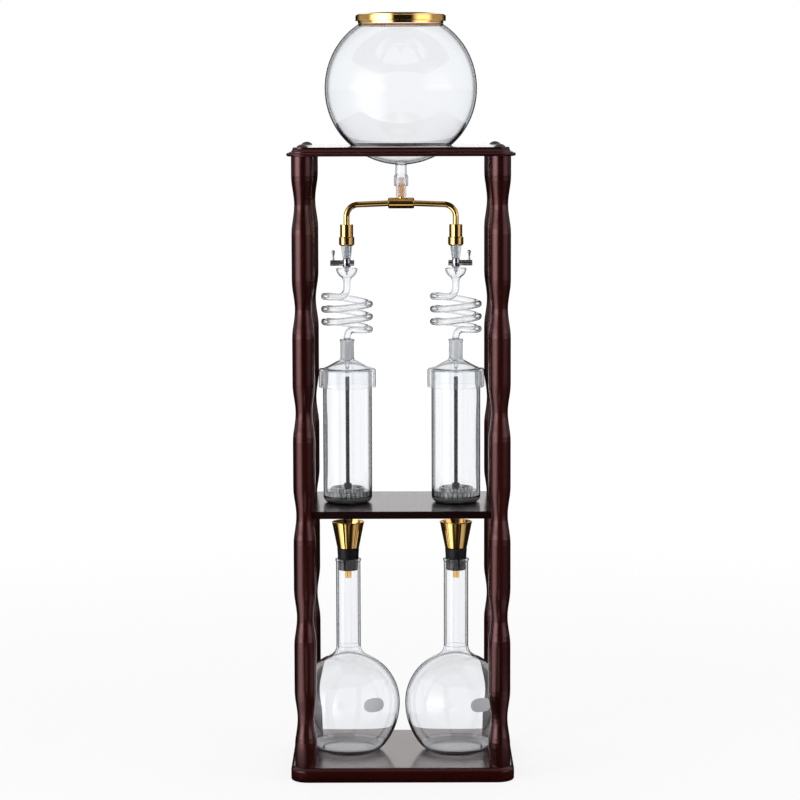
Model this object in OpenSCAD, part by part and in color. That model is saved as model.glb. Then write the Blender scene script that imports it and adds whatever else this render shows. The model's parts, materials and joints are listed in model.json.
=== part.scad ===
// Cold drip coffee tower: a wooden rack that holds one water bowl, a brass manifold
// with two drip taps, two glass spirals, two grounds jars and two receiving flasks.
// Millimetres, +Z up. Origin: middle of the base plate's underside. Front faces -Y.

/* [Rack] */
// Width of the base plate
base_w = 305; // [290:1:340]
// Depth of the base plate
base_d = 240; // [232:1:280]
// Thickness of the base plate
base_t = 20; // [18:1:30]
// Width of the top plate
top_w = 307; // [296:1:340]
// Depth of the top plate
top_d = 240; // [232:1:280]
// Thickness of the top plate
top_t = 12; // [11:1:16]
// Radius of the plates' corners
corner_r = 24; // [18:1:30]
// Distance between the left and right posts, centre to centre
post_dx = 264; // [260:1:280]
// Distance between the front and rear posts, centre to centre
post_dy = 194; // [190:1:200]
// Length of a post between the plates
post_len = 830; // [825:1:850]
// Radius of a post
post_r = 15.2; // [14:0.1:17]
// Radius of a post at its turned waists
waist_r = 11.3; // [10.5:0.1:12.5]
// Length of one waist along the post
waist_len = 78; // [50:1:100]
// Distance between two waists
waist_pitch = 140; // [120:1:150]
// Number of waists on a post
waists = 6; // [2:2:6]
// Thickness of the middle shelf
shelf_t = 10; // [8:1:14]

/* [Rack fasteners] */
// Diameter of the domed bolt heads on the top plate
bolt_head_d = 16; // [13:0.5:20]
// Height of the domed bolt heads
bolt_head_h = 4; // [3:0.5:6]
// Diameter of the bolt shanks
bolt_d = 6; // [5:0.5:8]
// Depth to which a bolt reaches into its post
bolt_grip = 32; // [20:1:34]
// Diameter of the dowels between shelf and posts
dowel_d = 4; // [3:0.5:5]
// Length of a shelf dowel
dowel_len = 24; // [18:1:28]

/* [Water bowl] */
// Outer radius of the glass bowl
bowl_r = 104.5; // [100:0.5:110]
// Height of the bowl's centre above the top plate
bowl_rise = 78.5; // [76:0.5:84]
// Wall of the glass bowl
bowl_wall = 3; // [2:0.1:4]
// Outer radius of the bowl's mouth
mouth_r = 57.5; // [52:0.5:58]
// Height at which the mouth leaves the sphere, above the bowl's centre
mouth_rise = 86.5; // [84:0.5:88]
// Outer radius of the brass collar
collar_r = 62; // [60:0.5:68]
// Height of the brass collar's wide band
collar_h = 8; // [6:0.5:12]
// Outer radius of the drain tube under the bowl
drain_r = 7.8; // [7:0.1:9]
// Outer radius of the ground socket at its end
socket_r = 9.7; // [9.5:0.1:12]
// Length of the ground socket
socket_len = 16; // [12:1:18]

/* [Manifold] */
// Distance of each drip line from the middle
line_x = 75; // [74:0.5:78]
// Outer radius of the brass tubes
tube_r = 4; // [3.5:0.1:4.5]
// Bore radius of the brass tubes
tube_bore = 2.8; // [2:0.1:3]
// Radius of the tee's barrel
tee_r = 7.5; // [6.5:0.1:9]
// Length of the tee's barrel
tee_len = 36; // [30:1:44]
// Distance of the tee's centre below the top plate's underside
tee_drop = 66.5; // [66:0.5:68]
// Slope of the arms, degrees
arm_slope = 2.3; // [0:0.1:4]
// Bend radius of the arms' elbows
elbow_r = 16; // [12:0.5:20]
// Length of the silicone plug between tee and bowl
plug_len = 27; // [24:1:30]

/* [Drip taps] */
// Radius of the union under each elbow
union_r = 9; // [8:0.1:10]
// Length of the union
union_len = 17; // [15:0.5:20]
// Radius of the union's nut
nut_r = 10.6; // [10:0.1:12]
// Length of the nut
nut_len = 12.5; // [10:0.5:14]
// Length of the silicone cone under the nut
cone_len = 17; // [16:0.5:18]
// Radius of the tap's barrel
tap_r = 5.7; // [5.2:0.1:6]
// Height of the tap's barrel
tap_h = 13.5; // [12:0.5:14]
// Radius of the tap's cross sleeve
sleeve_r = 3.95; // [3.6:0.05:4.1]
// Length of the lever above the tap's axis
lever_len = 17.7; // [14:0.1:22]
// Length of the drip needle under the nozzle
needle_len = 4.5; // [3:0.5:5]

/* [Glass spirals] */
// Outer radius of the spiral's glass tube
coil_tube_r = 4.75; // [4.2:0.05:5]
// Wall of the spiral's glass tube
coil_wall = 1.3; // [1:0.1:1.6]
// Radius of the spiral's centreline
coil_r = 31; // [29:0.5:32]
// Drop of each half turn that runs behind
half_drop_back = 10.5; // [10:0.1:11]
// Drop of each half turn that runs in front
half_drop_front = 7; // [6.5:0.1:7.5]
// Half turns of the spiral
half_turns = 5; // [3:2:5]
// Outer radius of the cup that catches the drops
cup_r = 14.7; // [13.5:0.1:16]
// Wall of the cup
cup_wall = 1.5; // [1.2:0.1:1.8]

/* [Grounds jars] */
// Outer radius of a jar
jar_r = 33.8; // [32:0.1:35]
// Wall of the jars
jar_wall = 2.2; // [1.8:0.1:2.6]
// Height of a jar
jar_h = 184; // [180:1:186]
// Radius of a jar's rounded heel
heel_r = 8; // [5:0.5:10]
// Outer radius of the jar's outlet
outlet_r = 5; // [4:0.1:6]
// Reach of the jar's outlet below the shelf
outlet_reach = 14; // [12:0.5:14]
// Outer radius of the hood's skirt
hood_r = 39.3; // [38.5:0.1:42]
// Depth to which the hood's skirt covers the jar
skirt_len = 24; // [18:1:32]
// Outer radius of the hood's ground neck
neck_r = 9.4; // [9.2:0.1:11]
// Length of the hood's ground neck
neck_len = 25.5; // [22:0.5:28]
// Radius of the strainer
strainer_r = 30.6; // [28.5:0.1:31]
// Height of the strainer's rim
strainer_t = 9; // [6:0.5:11]
// Radius of the strainer's rod
rod_r = 2.6; // [2.2:0.1:3.2]
// Depth of the rod's top below the jar's rim
rod_low = 10; // [8:1:40]

/* [Flasks] */
// Outer radius of a flask's bulb
flask_r = 71.2; // [68:0.1:72]
// Height of the bulb's widest line above the base plate
flask_belt = 66.5; // [60:0.5:70]
// Wall of the flasks
flask_wall = 2.3; // [1.8:0.1:3]
// Outer radius of a flask's neck
flask_neck_r = 17; // [16.5:0.1:18]
// Height of a flask
flask_h = 270; // [262:1:274]
// Height of the stopper above the flask's rim
stopper_proud = 15; // [12:1:16]
// Depth of the stopper in the flask's neck
stopper_deep = 16; // [13:1:18]
// Radius of the funnel at its rim
funnel_r = 22.2; // [20:0.1:26]
// Radius of the funnel at its foot
funnel_foot_r = 15.2; // [14:0.1:17]
// Height of the funnel's bell
funnel_h = 37; // [30:1:37]
// Wall of the funnel
funnel_wall = 1.2; // [1:0.1:2]

/* [Fits] */
// Gap between parts that are lifted or turned by hand
gap = 0.3; // [0.2:0.05:0.4]
// Radial clearance of turned parts that fit into each other
fit = 0.05; // [0.03:0.01:0.08]

/* [Hidden] */
$fn = 96;

wood = "#3c1414";
dark_wood = "#2a1012";
brass = "#c9a14a";
steel = "#b9bcc0";
dark_steel = "#1c1a1c";
glass = "#cfdde2";
frosted = "#c4c7ca";
silicone = "#e2cfcb";
rubber = "#161616";

eps = 0.01;
// Bent tubes stop this far from each other, and a core inside them joins them
seam = 0.002;
seam_core = 0.04;

// Heights in the rack
post_mid = base_t + post_len / 2;
plate_z = base_t + post_len;
plate_top = plate_z + top_t;
shelf_mid = post_mid - waist_pitch / 2;
shelf_z = shelf_mid - shelf_t / 2;
shelf_top = shelf_mid + shelf_t / 2;
pilot_r = bolt_d / 2 + fit;
sink_depth = 6;
sink_r = bolt_head_d / 2 - 1;

// Bowl
bowl_z = plate_top + bowl_rise;
bowl_seat_r = sqrt(bowl_r * bowl_r - bowl_rise * bowl_rise) + gap;
mouth_z = bowl_z + mouth_rise;
collar_foot_h = 4;
collar_z = mouth_z;
band_z = collar_z + collar_foot_h;
rim_z = band_z + collar_h;
lid_h = 3;
lid_skirt = 6;
lid_skirt_r = mouth_r - bowl_wall - gap;
tee_z = plate_z - tee_drop;
plug_z = tee_z + tee_r + 1;
socket_z = plug_z + plug_len - 12;
socket_wall = 1.9;
plug_taper = 0.7;
riser_top = plug_z + plug_len - 8;

// Manifold
elbow_z = tee_z - elbow_r - 2;
arm_grip = 7;
arm_start = tee_len / 2 - arm_grip;
union_top = elbow_z - 11;
union_z = union_top - union_len;
nut_z = union_z - nut_len;
cone_z = nut_z - cone_len;
tap_z = cone_z - tap_h;
tap_axis = tap_z + tap_h / 2;
stem_r = 3;
stem_bore = 1.8;
sleeve_out = 13;
sleeve_in = 10.2;
grip_out = 22.8;
lever_out = 18.5;
plug_r = 2.5;
nozzle_r = 3.2;
nozzle_len = 5;
needle_r = 1.2;

// Jar, hood and spiral
jar_top = shelf_top + jar_h;
jar_in_r = jar_r - jar_wall;
jar_floor = 5;
floor_round = heel_r - 3;
outlet_bore = outlet_r - 1.8;
shelf_hole_r = outlet_r + 1.5;
hood_wall = 2;
hood_seat = jar_top + gap;
shoulder_r = 32;
neck_z = hood_seat + 15.2;
neck_top = neck_z + neck_len;
neck_wall = 1.7;
cone_draft = 0.7;
cone_r = neck_r - neck_wall - gap;
bend_r = coil_r / (1 + sqrt(2));
coil_low = neck_top + 15;
back_turns = (half_turns + 1) / 2;
front_turns = (half_turns - 1) / 2;
coil_drop = back_turns * half_drop_back + front_turns * half_drop_front;
coil_high = coil_low + coil_drop;
coil_bore = coil_tube_r - coil_wall;
cup_neck = 11;
cup_z = coil_high + bend_r + cup_neck + cup_r;
tip_r = 3.5;
tip_len = 16;

function turn_top(i) =
    coil_high - ceil(i / 2) * half_drop_back - floor(i / 2) * half_drop_front;

// Strainer
strainer_lift = 2;
strainer_z = shelf_top + jar_floor + strainer_lift;
strainer_step_r = 23.5;
strainer_step_h = 4.5;
hub_r = 5.3;
hub_h = 10;
hole_rings = 3;
hole_r = 1.1;

// Flask, stopper and funnel
flask_z = base_t;
bulb_z = flask_z + flask_belt;
bulb_low = flask_r * 1.17;
foot_round = 9;
neck_blend = 16;
flask_top = flask_z + flask_h;
neck_bore = flask_neck_r - flask_wall - 0.1;
stopper_slope = 0.06;
stopper_rim_r = neck_bore - gap;
stopper_z = flask_top - stopper_deep;
funnel_z = flask_top + stopper_proud;
spout_r = 4.6;
spout_bore = 3.4;
spout_len = stopper_proud + stopper_deep + 11;
vent_r = 1.5;

// Points of an arc round c, in the plane of a profile
function arc(c, r, from, to, n = 12) =
    [for (i = [0 : n]) c + r * [cos(from + (to - from) * i / n), sin(from + (to - from) * i / n)]];

// Radius of a post at height h above its foot: cosine dips at equal distances
function dip(u) = abs(u) < 1 ? (1 + cos(180 * u)) / 2 : 0;
function waist_at(i) = post_len / 2 + (i - (waists - 1) / 2) * waist_pitch;
waist_steps = 12;
post_profile = [
    [0, 0], [post_r, 0],
    for (i = [0 : waists - 1], k = [0 : waist_steps])
        let (u = 2 * k / waist_steps - 1)
            [post_r - (post_r - waist_r) * dip(u), waist_at(i) + u * waist_len / 2],
    [post_r, post_len], [0, post_len]
];

// ---------- Wooden rack ----------

// A board of w by d with one edge moulding carried round sides and corners.
// edge: points of the moulding from bottom to top, x measured from the corner's centre
module moulded_board(w, d, h, edge) {
    sx = w / 2 - corner_r;
    sy = d / 2 - corner_r;
    outline = concat([[0, 0]], edge, [[0, h]]);
    translate([-sx, -sy, 0]) cube([2 * sx, 2 * sy, h]);
    for (a = [0 : 3]) {
        cx = (a == 0 || a == 3) ? sx : -sx;
        cy = a < 2 ? sy : -sy;
        run = a % 2 == 0 ? 2 * sy : 2 * sx;
        translate([cx, cy, 0]) rotate([0, 0, 90 * a]) {
            rotate_extrude(angle = 90) polygon(outline);
            rotate([90, 0, 0]) linear_extrude(height = run) polygon(outline);
        }
    }
}

base_edge = concat(
    arc([corner_r - 3, 3], 3, -90, 0, 6),
    [[corner_r, 3.4], [corner_r - 1.1, 4.1], [corner_r - 1.1, 4.7], [corner_r, 5.4]],
    arc([corner_r - 6, base_t - 6], 6, 0, 90, 10)
);
top_edge = concat(
    arc([corner_r - 2.4, 2.4], 2.4, -90, 90, 12),
    [[corner_r - 3.6, 4.8], [corner_r - 3.6, 5.8]],
    arc([corner_r - 3.6, top_t - 1.2], top_t - 7, -90, -180, 8),
    [[corner_r - 3.6 - top_t + 7, top_t]]
);

module at_posts() {
    for (x = [-1, 1], y = [-1, 1])
        translate([x * post_dx / 2, y * post_dy / 2, 0]) children();
}

module base_plate() {
    color(wood) difference() {
        moulded_board(base_w, base_d, base_t, base_edge);
        at_posts() {
            translate([0, 0, -1]) cylinder(r = pilot_r, h = base_t + 2);
            translate([0, 0, -1]) cylinder(r = sink_r + 0.5, h = sink_depth + 1);
        }
    }
}

module top_plate() {
    color(wood) translate([0, 0, plate_z]) difference() {
        moulded_board(top_w, top_d, top_t, top_edge);
        translate([0, 0, -1]) cylinder(r = bowl_seat_r, h = top_t + 2, $fn = 180);
        at_posts() translate([0, 0, -1]) cylinder(r = pilot_r, h = top_t + 2);
    }
}

module shelf() {
    color(dark_wood) difference() {
        translate([-post_dx / 2, -post_dy / 2, shelf_z]) cube([post_dx, post_dy, shelf_t]);
        at_posts() translate([0, 0, shelf_z - 1])
            cylinder(r = waist_r + gap / 2, h = shelf_t + 2);
        for (s = [-1, 1])
            translate([s * line_x, 0, shelf_z - 1]) cylinder(r = shelf_hole_r, h = shelf_t + 2);
        dowels(dowel_d / 2 + fit);
    }
}

// Dowels run level from the middle of a post towards the middle of the shelf
module dowel(x, y, r) {
    translate([x * post_dx / 2, y * post_dy / 2, shelf_mid])
        rotate([0, 90, atan2(-y, -x)]) translate([0, 0, 2]) cylinder(r = r, h = dowel_len);
}

module dowels(r) {
    for (x = [-1, 1], y = [-1, 1]) dowel(x, y, r);
}

// x and y are -1 or 1 and say which corner the post stands at
module post(x, y) {
    color(wood) difference() {
        translate([x * post_dx / 2, y * post_dy / 2, base_t])
            rotate_extrude() polygon(post_profile);
        translate([x * post_dx / 2, y * post_dy / 2, 0]) {
            translate([0, 0, base_t - 1]) cylinder(r = pilot_r, h = bolt_grip + 2);
            translate([0, 0, plate_z - bolt_grip - 1]) cylinder(r = pilot_r, h = bolt_grip + 2);
        }
        dowel(x, y, dowel_d / 2 + fit);
    }
}

module top_bolts() {
    dome_r = (pow(bolt_head_d / 2, 2) + pow(bolt_head_h, 2)) / (2 * bolt_head_h);
    color(dark_steel) at_posts() {
        translate([0, 0, plate_top]) rotate_extrude() polygon(concat(
            [[0, 0]],
            arc([0, bolt_head_h - dome_r], dome_r, asin((dome_r - bolt_head_h) / dome_r), 90, 10)
        ));
        translate([0, 0, plate_z - bolt_grip])
            cylinder(d = bolt_d, h = bolt_grip + top_t + eps);
    }
}

module bottom_bolts() {
    color(dark_steel) at_posts() difference() {
        union() {
            translate([0, 0, 1]) cylinder(r = sink_r, h = sink_depth - 1);
            translate([0, 0, sink_depth - eps])
                cylinder(d = bolt_d, h = base_t - sink_depth + bolt_grip + eps);
        }
        translate([0, 0, 0.5]) cylinder(d = 5, h = 3.5, $fn = 6);
    }
}

module shelf_dowels() {
    color(dark_wood) dowels(dowel_d / 2);
}

// ---------- Water bowl ----------

bowl_top_angle = asin(mouth_rise / bowl_r);
drain_angle = acos(drain_r / bowl_r);
mouth_h = collar_foot_h + collar_h - 1;
bowl_in_r = bowl_r - bowl_wall;
drain_bore = drain_r - 2;
socket_top = socket_z + socket_len;

module bowl() {
    color(glass) translate([0, 0, bowl_z]) rotate_extrude($fn = 180) difference() {
        polygon(concat(
            [[0, socket_z - bowl_z], [socket_r, socket_z - bowl_z],
             [socket_r, socket_top - bowl_z - 2], [drain_r, socket_top - bowl_z]],
            arc([0, 0], bowl_r, -drain_angle, bowl_top_angle, 72),
            [[mouth_r, mouth_rise + 0.8], [mouth_r, mouth_rise + mouth_h],
             [0, mouth_rise + mouth_h]]
        ));
        polygon(concat(
            [[0, socket_z - bowl_z - 1], [socket_r - socket_wall, socket_z - bowl_z - 1],
             [socket_r - socket_wall - plug_taper, socket_top - bowl_z - 3],
             [drain_bore, socket_top - bowl_z - 1]],
            arc([0, 0], bowl_in_r, -acos(drain_bore / bowl_in_r),
                asin((mouth_rise - 1) / bowl_in_r), 72),
            [[mouth_r - bowl_wall, mouth_rise + 0.8],
             [mouth_r - bowl_wall, mouth_rise + mouth_h + 1],
             [0, mouth_rise + mouth_h + 1]]
        ));
    }
}

module bowl_collar() {
    foot_r = mouth_r + 1.2;
    color(brass) translate([0, 0, collar_z]) rotate_extrude($fn = 180) polygon([
        [mouth_r + fit, 1], [foot_r, 1], [foot_r, collar_foot_h], [collar_r - 0.6, collar_foot_h],
        [collar_r, collar_foot_h + 0.6], [collar_r, collar_foot_h + collar_h - 0.6],
        [collar_r - 0.6, collar_foot_h + collar_h], [mouth_r - bowl_wall, collar_foot_h + collar_h],
        [mouth_r - bowl_wall, mouth_h + fit], [mouth_r + fit, mouth_h + fit]
    ]);
}

// Low pan-shaped lid: flat middle, sloping edge, and a skirt inside the mouth
module lid() {
    lid_r = collar_r - 2;
    color(brass) translate([0, 0, rim_z]) rotate_extrude($fn = 180) polygon([
        [0, 1.2], [lid_skirt_r - 1.2, 1.2], [lid_skirt_r - 1.2, -lid_skirt],
        [lid_skirt_r, -lid_skirt], [lid_skirt_r, 0], [lid_r, 0], [lid_r, 0.9],
        [lid_r - 8, lid_h], [0, lid_h]
    ]);
}

// Silicone plug: wedged in the ground socket, with the riser tube turning in it
module bowl_plug() {
    top_r = socket_r - socket_wall - plug_taper - fit;
    in_socket = plug_z + plug_len - socket_z;
    color(silicone) translate([0, 0, plug_z]) difference() {
        rotate_extrude() polygon([
            [0, 0], [top_r - 0.8, 0], [top_r, 1.5], [top_r, plug_len - in_socket],
            [top_r, plug_len - 1], [top_r - 0.8, plug_len], [0, plug_len]
        ]);
        translate([0, 0, -1]) cylinder(r = tube_r + fit, h = riser_top - plug_z + 1);
        translate([0, 0, -1]) cylinder(r = tube_bore, h = plug_len + 2);
    }
}

// ---------- Manifold ----------

module riser_tube() {
    foot = tee_z + 3;
    color(brass) difference() {
        translate([0, 0, foot]) cylinder(r = tube_r, h = riser_top - foot - gap);
        translate([0, 0, foot - 1]) cylinder(r = tube_bore, h = riser_top - foot + 2);
    }
}

module tee() {
    chamfer = 1.5;
    color(brass) translate([0, 0, tee_z]) difference() {
        rotate([0, 90, 0]) rotate_extrude() polygon([
            [0, -tee_len / 2], [tee_r - chamfer, -tee_len / 2], [tee_r, chamfer - tee_len / 2],
            [tee_r, tee_len / 2 - chamfer], [tee_r - chamfer, tee_len / 2], [0, tee_len / 2]
        ]);
        translate([0, 0, 3 - fit]) cylinder(r = tube_r + fit, h = tee_r);
        translate([0, 0, 0]) cylinder(r = tube_bore, h = tee_r);
        for (s = [0, 180]) rotate([0, 0, s]) {
            translate([0, 0, -tee_z]) arm_path(tube_r + fit, arm_start - fit);
            rotate([0, 90, 0]) cylinder(r = tube_bore, h = arm_start + 1);
        }
    }
}

// The arm's centreline, towards +X: sloping run, elbow, and a drop at line_x
module arm_path(r, start, deep = 6) {
    bend_x = line_x - elbow_r;
    run_end = bend_x + elbow_r * sin(arm_slope);
    run = (run_end - start) / cos(arm_slope);
    run_z = elbow_z + elbow_r * cos(arm_slope);
    translate([run_end, 0, run_z]) {
        rotate([0, arm_slope - 90, 0]) translate([0, 0, seam]) cylinder(r = r, h = run);
        sphere(r = r - seam_core);
    }
    translate([bend_x, 0, elbow_z]) rotate([90, 0, 0]) bent_tube(elbow_r, 90 - arm_slope, r);
    translate([line_x, 0, union_top - deep])
        cylinder(r = r, h = elbow_z - union_top + deep - seam);
}

// Part of a ring of tube, from angle 0 to angle, with a core that joins it to what it meets
module bent_tube(bend, angle, r) {
    back_off = seam / bend * 180 / PI;
    rotate([0, 0, back_off]) rotate_extrude(angle = angle - 2 * back_off)
        translate([bend, 0]) circle(r = r, $fn = 48);
    translate([bend, 0, 0]) sphere(r = r - seam_core);
}

module arm() {
    color(brass) difference() {
        arm_path(tube_r, arm_start);
        arm_path(tube_bore, arm_start - 1, 7);
    }
}

// ---------- Drip taps, drawn at the middle and set at each drip line ----------

module union_body() {
    spigot = 8;
    color(brass) difference() {
        rotate_extrude() polygon([
            [0, union_z - spigot], [union_r - 2, union_z - spigot], [union_r - 2, union_z],
            [union_r, union_z], [union_r, union_top - 0.8], [union_r - 0.8, union_top],
            [0, union_top]
        ]);
        translate([0, 0, union_top - 6 - fit]) cylinder(r = tube_r + fit, h = 8);
        translate([0, 0, union_z - spigot - 1]) cylinder(r = tube_bore, h = union_len + spigot);
    }
}

module union_nut() {
    color(brass) difference() {
        rotate_extrude() polygon([
            [0, nut_z], [nut_r - 2, nut_z], [nut_r, nut_z + 2], [nut_r, union_z - 1.2],
            [nut_r - 1.2, union_z], [0, union_z]
        ]);
        translate([0, 0, union_z - 8 - fit]) cylinder(r = union_r - 2 + fit, h = 9);
        translate([0, 0, nut_z - 1]) cylinder(r = stem_r + fit, h = nut_len);
    }
}

module tap_sleeve() {
    color(silicone) difference() {
        rotate_extrude() polygon([
            [0, cone_z], [tap_r, cone_z], [tap_r + 1.9, nut_z - 2], [tap_r + 1.9, nut_z],
            [0, nut_z]
        ]);
        translate([0, 0, cone_z - 1]) cylinder(r = stem_r + fit, h = cone_len + 2);
    }
}

module tap_stem() {
    foot = cone_z - 3;
    color(steel) difference() {
        translate([0, 0, foot]) cylinder(r = stem_r, h = nut_z + 4 - foot);
        translate([0, 0, foot - 1]) cylinder(r = stem_bore, h = nut_z + 6 - foot);
    }
}

// out is the side to which the lever points: -1 left, 1 right
module tap_body(out) {
    barrel = concat(
        [[0, 0], [tap_r - 1.4, 0]],
        [for (k = [0 : 6]) [tap_r - 0.5 + 0.5 * sin(30 * k), 1 + (tap_h - 2) * k / 6]],
        [[tap_r - 0.8, tap_h], [0, tap_h]]
    );
    color(steel) difference() {
        union() {
            translate([0, 0, tap_z]) rotate_extrude() polygon(barrel);
            translate([-out * sleeve_in, 0, tap_axis])
                rotate([0, out * 90, 0]) cylinder(r = sleeve_r, h = sleeve_in + sleeve_out);
        }
        translate([out * (2 - sleeve_in), 0, tap_axis])
            rotate([0, out * 90, 0]) cylinder(r = plug_r + fit, h = sleeve_in + sleeve_out);
        translate([0, 0, tap_z + tap_h - 3 - fit]) cylinder(r = stem_r + fit, h = 4);
        translate([0, 0, tap_z - 1]) cylinder(r = nozzle_r - 1.2 + fit, h = 3 + fit);
        translate([0, 0, tap_z - 1]) cylinder(r = stem_bore - 0.6, h = tap_h);
    }
}

module tap_plug(out) {
    start = 2.3 - sleeve_in;
    color(steel) difference() {
        translate([0, 0, tap_axis]) rotate([0, out * 90, 0]) rotate_extrude() polygon([
            [0, start], [plug_r, start], [plug_r, sleeve_out + gap],
            [sleeve_r, sleeve_out + gap], [sleeve_r, grip_out - 0.8],
            [sleeve_r - 0.8, grip_out], [0, grip_out]
        ]);
        translate([0, 0, tap_axis - 5]) cylinder(r = 1.2, h = 10);
        translate([out * lever_out, 0, tap_axis]) cylinder(r = 1.5 + fit, h = 6);
    }
}

module tap_lever(out) {
    head_r = 2.4;
    shank_r = 1.5;
    color(steel) translate([out * lever_out, 0, tap_axis + fit]) rotate_extrude($fn = 48)
        polygon(concat(
            [[0, 0], [shank_r, 0], [shank_r, 6], [shank_r - 0.3, 9]],
            arc([0, lever_len - head_r], head_r, -30, 90, 10)
        ));
}

module drip_nozzle() {
    color(steel) difference() {
        rotate_extrude($fn = 48) polygon([
            [0, tap_z - nozzle_len - needle_len], [needle_r, tap_z - nozzle_len - needle_len],
            [needle_r, tap_z - nozzle_len - 0.8], [nozzle_r, tap_z - nozzle_len + 0.8],
            [nozzle_r, tap_z], [nozzle_r - 1.2, tap_z], [nozzle_r - 1.2, tap_z + 2],
            [0, tap_z + 2]
        ]);
        translate([0, 0, tap_z - nozzle_len - needle_len - 1])
            cylinder(r = 0.6, h = nozzle_len + needle_len + 4);
    }
}

// ---------- Glass spiral ----------

// Level arc between the axis bend and the first or last turn, at angle a round x = +-centre
arc_x = coil_r - bend_r;
diagonal = sqrt(0.5);
arc_steps = 8;
bend_steps = 6;
turn_steps = 12;
// Straight stubs on the axis take the ends of the bent tube
stub_r = coil_tube_r + 0.2;
stub_grip = 1.5;

// A point of half turn t: half circles seen from above, which drop and level out again
function turn_point(t) = let (
        i = min(floor(t), half_turns - 1),
        u = t - i,
        drop = i % 2 == 0 ? half_drop_back : half_drop_front,
        side = i % 2 == 0 ? 1 : -1
    ) [-side * coil_r * cos(180 * u), side * coil_r * sin(180 * u),
       turn_top(i) - drop * (1 - cos(180 * u)) / 2];

// Centreline: down the axis, forwards and left, the turns, and forwards back to the axis
spiral_path = concat(
    [[0, 0, coil_high + bend_r + stub_grip]],
    [for (k = [0 : bend_steps - 1]) let (b = 90 * k / bend_steps, out = bend_r * (1 - cos(b)))
        [-out * diagonal, -out * diagonal, coil_high + bend_r * (1 - sin(b))]],
    [for (k = [0 : arc_steps - 1]) let (a = -45 - 135 * k / arc_steps)
        [-arc_x + bend_r * cos(a), bend_r * sin(a), coil_high]],
    [for (k = [0 : turn_steps * half_turns - 1]) turn_point(k / turn_steps)],
    [for (k = [0 : arc_steps - 1]) let (a = -135 * k / arc_steps)
        [arc_x + bend_r * cos(a), bend_r * sin(a), coil_low]],
    [for (k = [0 : bend_steps]) let (b = 90 * k / bend_steps, out = bend_r * (1 - sin(b)))
        [out * diagonal, -out * diagonal, coil_low - bend_r * (1 - cos(b))]],
    [[0, 0, coil_low - bend_r - stub_grip]]
);

function unit(v) = v / norm(v);
function heading(p, i) = i == 0 || i == len(p) - 1 ? [0, 0, -1] : unit(p[i + 1] - p[i - 1]);
function level_out(v, t) = unit(v - (v * t) * t);
// A side direction at each point, carried along the path without twist
function sides_of(p) = [for (i = 0, n = [1, 0, 0]; i < len(p);
    i = i + 1, n = i < len(p) ? level_out(n, heading(p, i)) : n) n];
function ring_points(p, side, r, n) = [for (i = [0 : len(p) - 1], k = [0 : n - 1])
    let (t = heading(p, i), a = 360 * k / n)
        p[i] + r * (cos(a) * side[i] + sin(a) * cross(t, side[i]))];

// A hollow tube of n-sided rings along the points of p, as one closed surface
module hollow_tube(p, r_out, r_in, n) {
    side = sides_of(p);
    rings = len(p);
    inner = rings * n;
    last = (rings - 1) * n;
    polyhedron(
        points = concat(ring_points(p, side, r_out, n), ring_points(p, side, r_in, n)),
        faces = [
            for (i = [0 : rings - 2], k = [0 : n - 1])
                let (a = i * n + k, b = i * n + (k + 1) % n)
                    each [[a, b + n, b], [a, a + n, b + n],
                          [inner + a, inner + b, inner + b + n],
                          [inner + a, inner + b + n, inner + a + n]],
            for (k = [0 : n - 1]) let (b = (k + 1) % n)
                each [[k, b, inner + b], [k, inner + b, inner + k],
                      [last + k, inner + last + b, last + b],
                      [last + k, inner + last + k, inner + last + b]]
        ],
        convexity = 8
    );
}

module spiral() {
    sides = 10;
    cone_foot = neck_z - 2;
    cup_in_r = cup_r - cup_wall;
    color(glass) {
        hollow_tube(spiral_path, coil_tube_r, coil_bore / cos(180 / sides), sides);
        rotate_extrude() polygon(concat(
            [[coil_bore, coil_high + bend_r], [stub_r, coil_high + bend_r]],
            arc([0, cup_z], cup_r, -acos(stub_r / cup_r), 0, 16),
            arc([0, cup_z], cup_in_r, 0, -acos(coil_bore / cup_in_r), 16)
        ));
        rotate_extrude() polygon([
            [0.7, cone_foot - tip_len], [1.6, cone_foot - tip_len],
            [tip_r, cone_foot - tip_len + 5], [tip_r - 0.7, cone_foot - tip_len + 7],
            [tip_r, cone_foot - 4], [cone_r - cone_draft, cone_foot],
            [cone_r, neck_top - 1], [cone_r, neck_top + gap], [neck_r + 0.5, neck_top + gap],
            [neck_r + 0.5, neck_top + 1.3], [stub_r, coil_low - bend_r],
            [coil_bore, coil_low - bend_r], [coil_bore, cone_foot + 6],
            [tip_r - 1.5, cone_foot - 2], [tip_r - 1.5, cone_foot - tip_len + 6],
            [0.7, cone_foot - tip_len + 1]
        ]);
    }
}

// ---------- Grounds jar and what stands in it ----------

module hood() {
    skirt_z = jar_top - skirt_len;
    hood_top = hood_seat + hood_wall;
    color(glass) rotate_extrude() polygon(concat(
        [[hood_r, skirt_z + 1], [hood_r, hood_top - 4]],
        arc([hood_r - 4, hood_top - 4], 4, 0, 80, 6),
        [[shoulder_r + 0.6, hood_top + 0.4], [shoulder_r - 2.4, hood_top + 1.4]],
        arc([neck_r + 5, neck_z + 2], 5, 250, 180, 6),
        [[neck_r, neck_top - 3], [neck_r + 0.9, neck_top - 1.4], [neck_r + 0.9, neck_top],
         [cone_r + gap, neck_top], [cone_r + gap, neck_top - 1],
         [cone_r - cone_draft + gap, neck_z - 2], [neck_r - 1, neck_z - 3.4],
         [shoulder_r - 3.4, hood_seat + 1.2], [shoulder_r - 1, hood_seat],
         [hood_r - hood_wall - 1.6, hood_seat], [hood_r - hood_wall, hood_seat - 1.6],
         [hood_r - hood_wall, skirt_z + 1], [hood_r - hood_wall / 2, skirt_z]]
    ));
}

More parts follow.
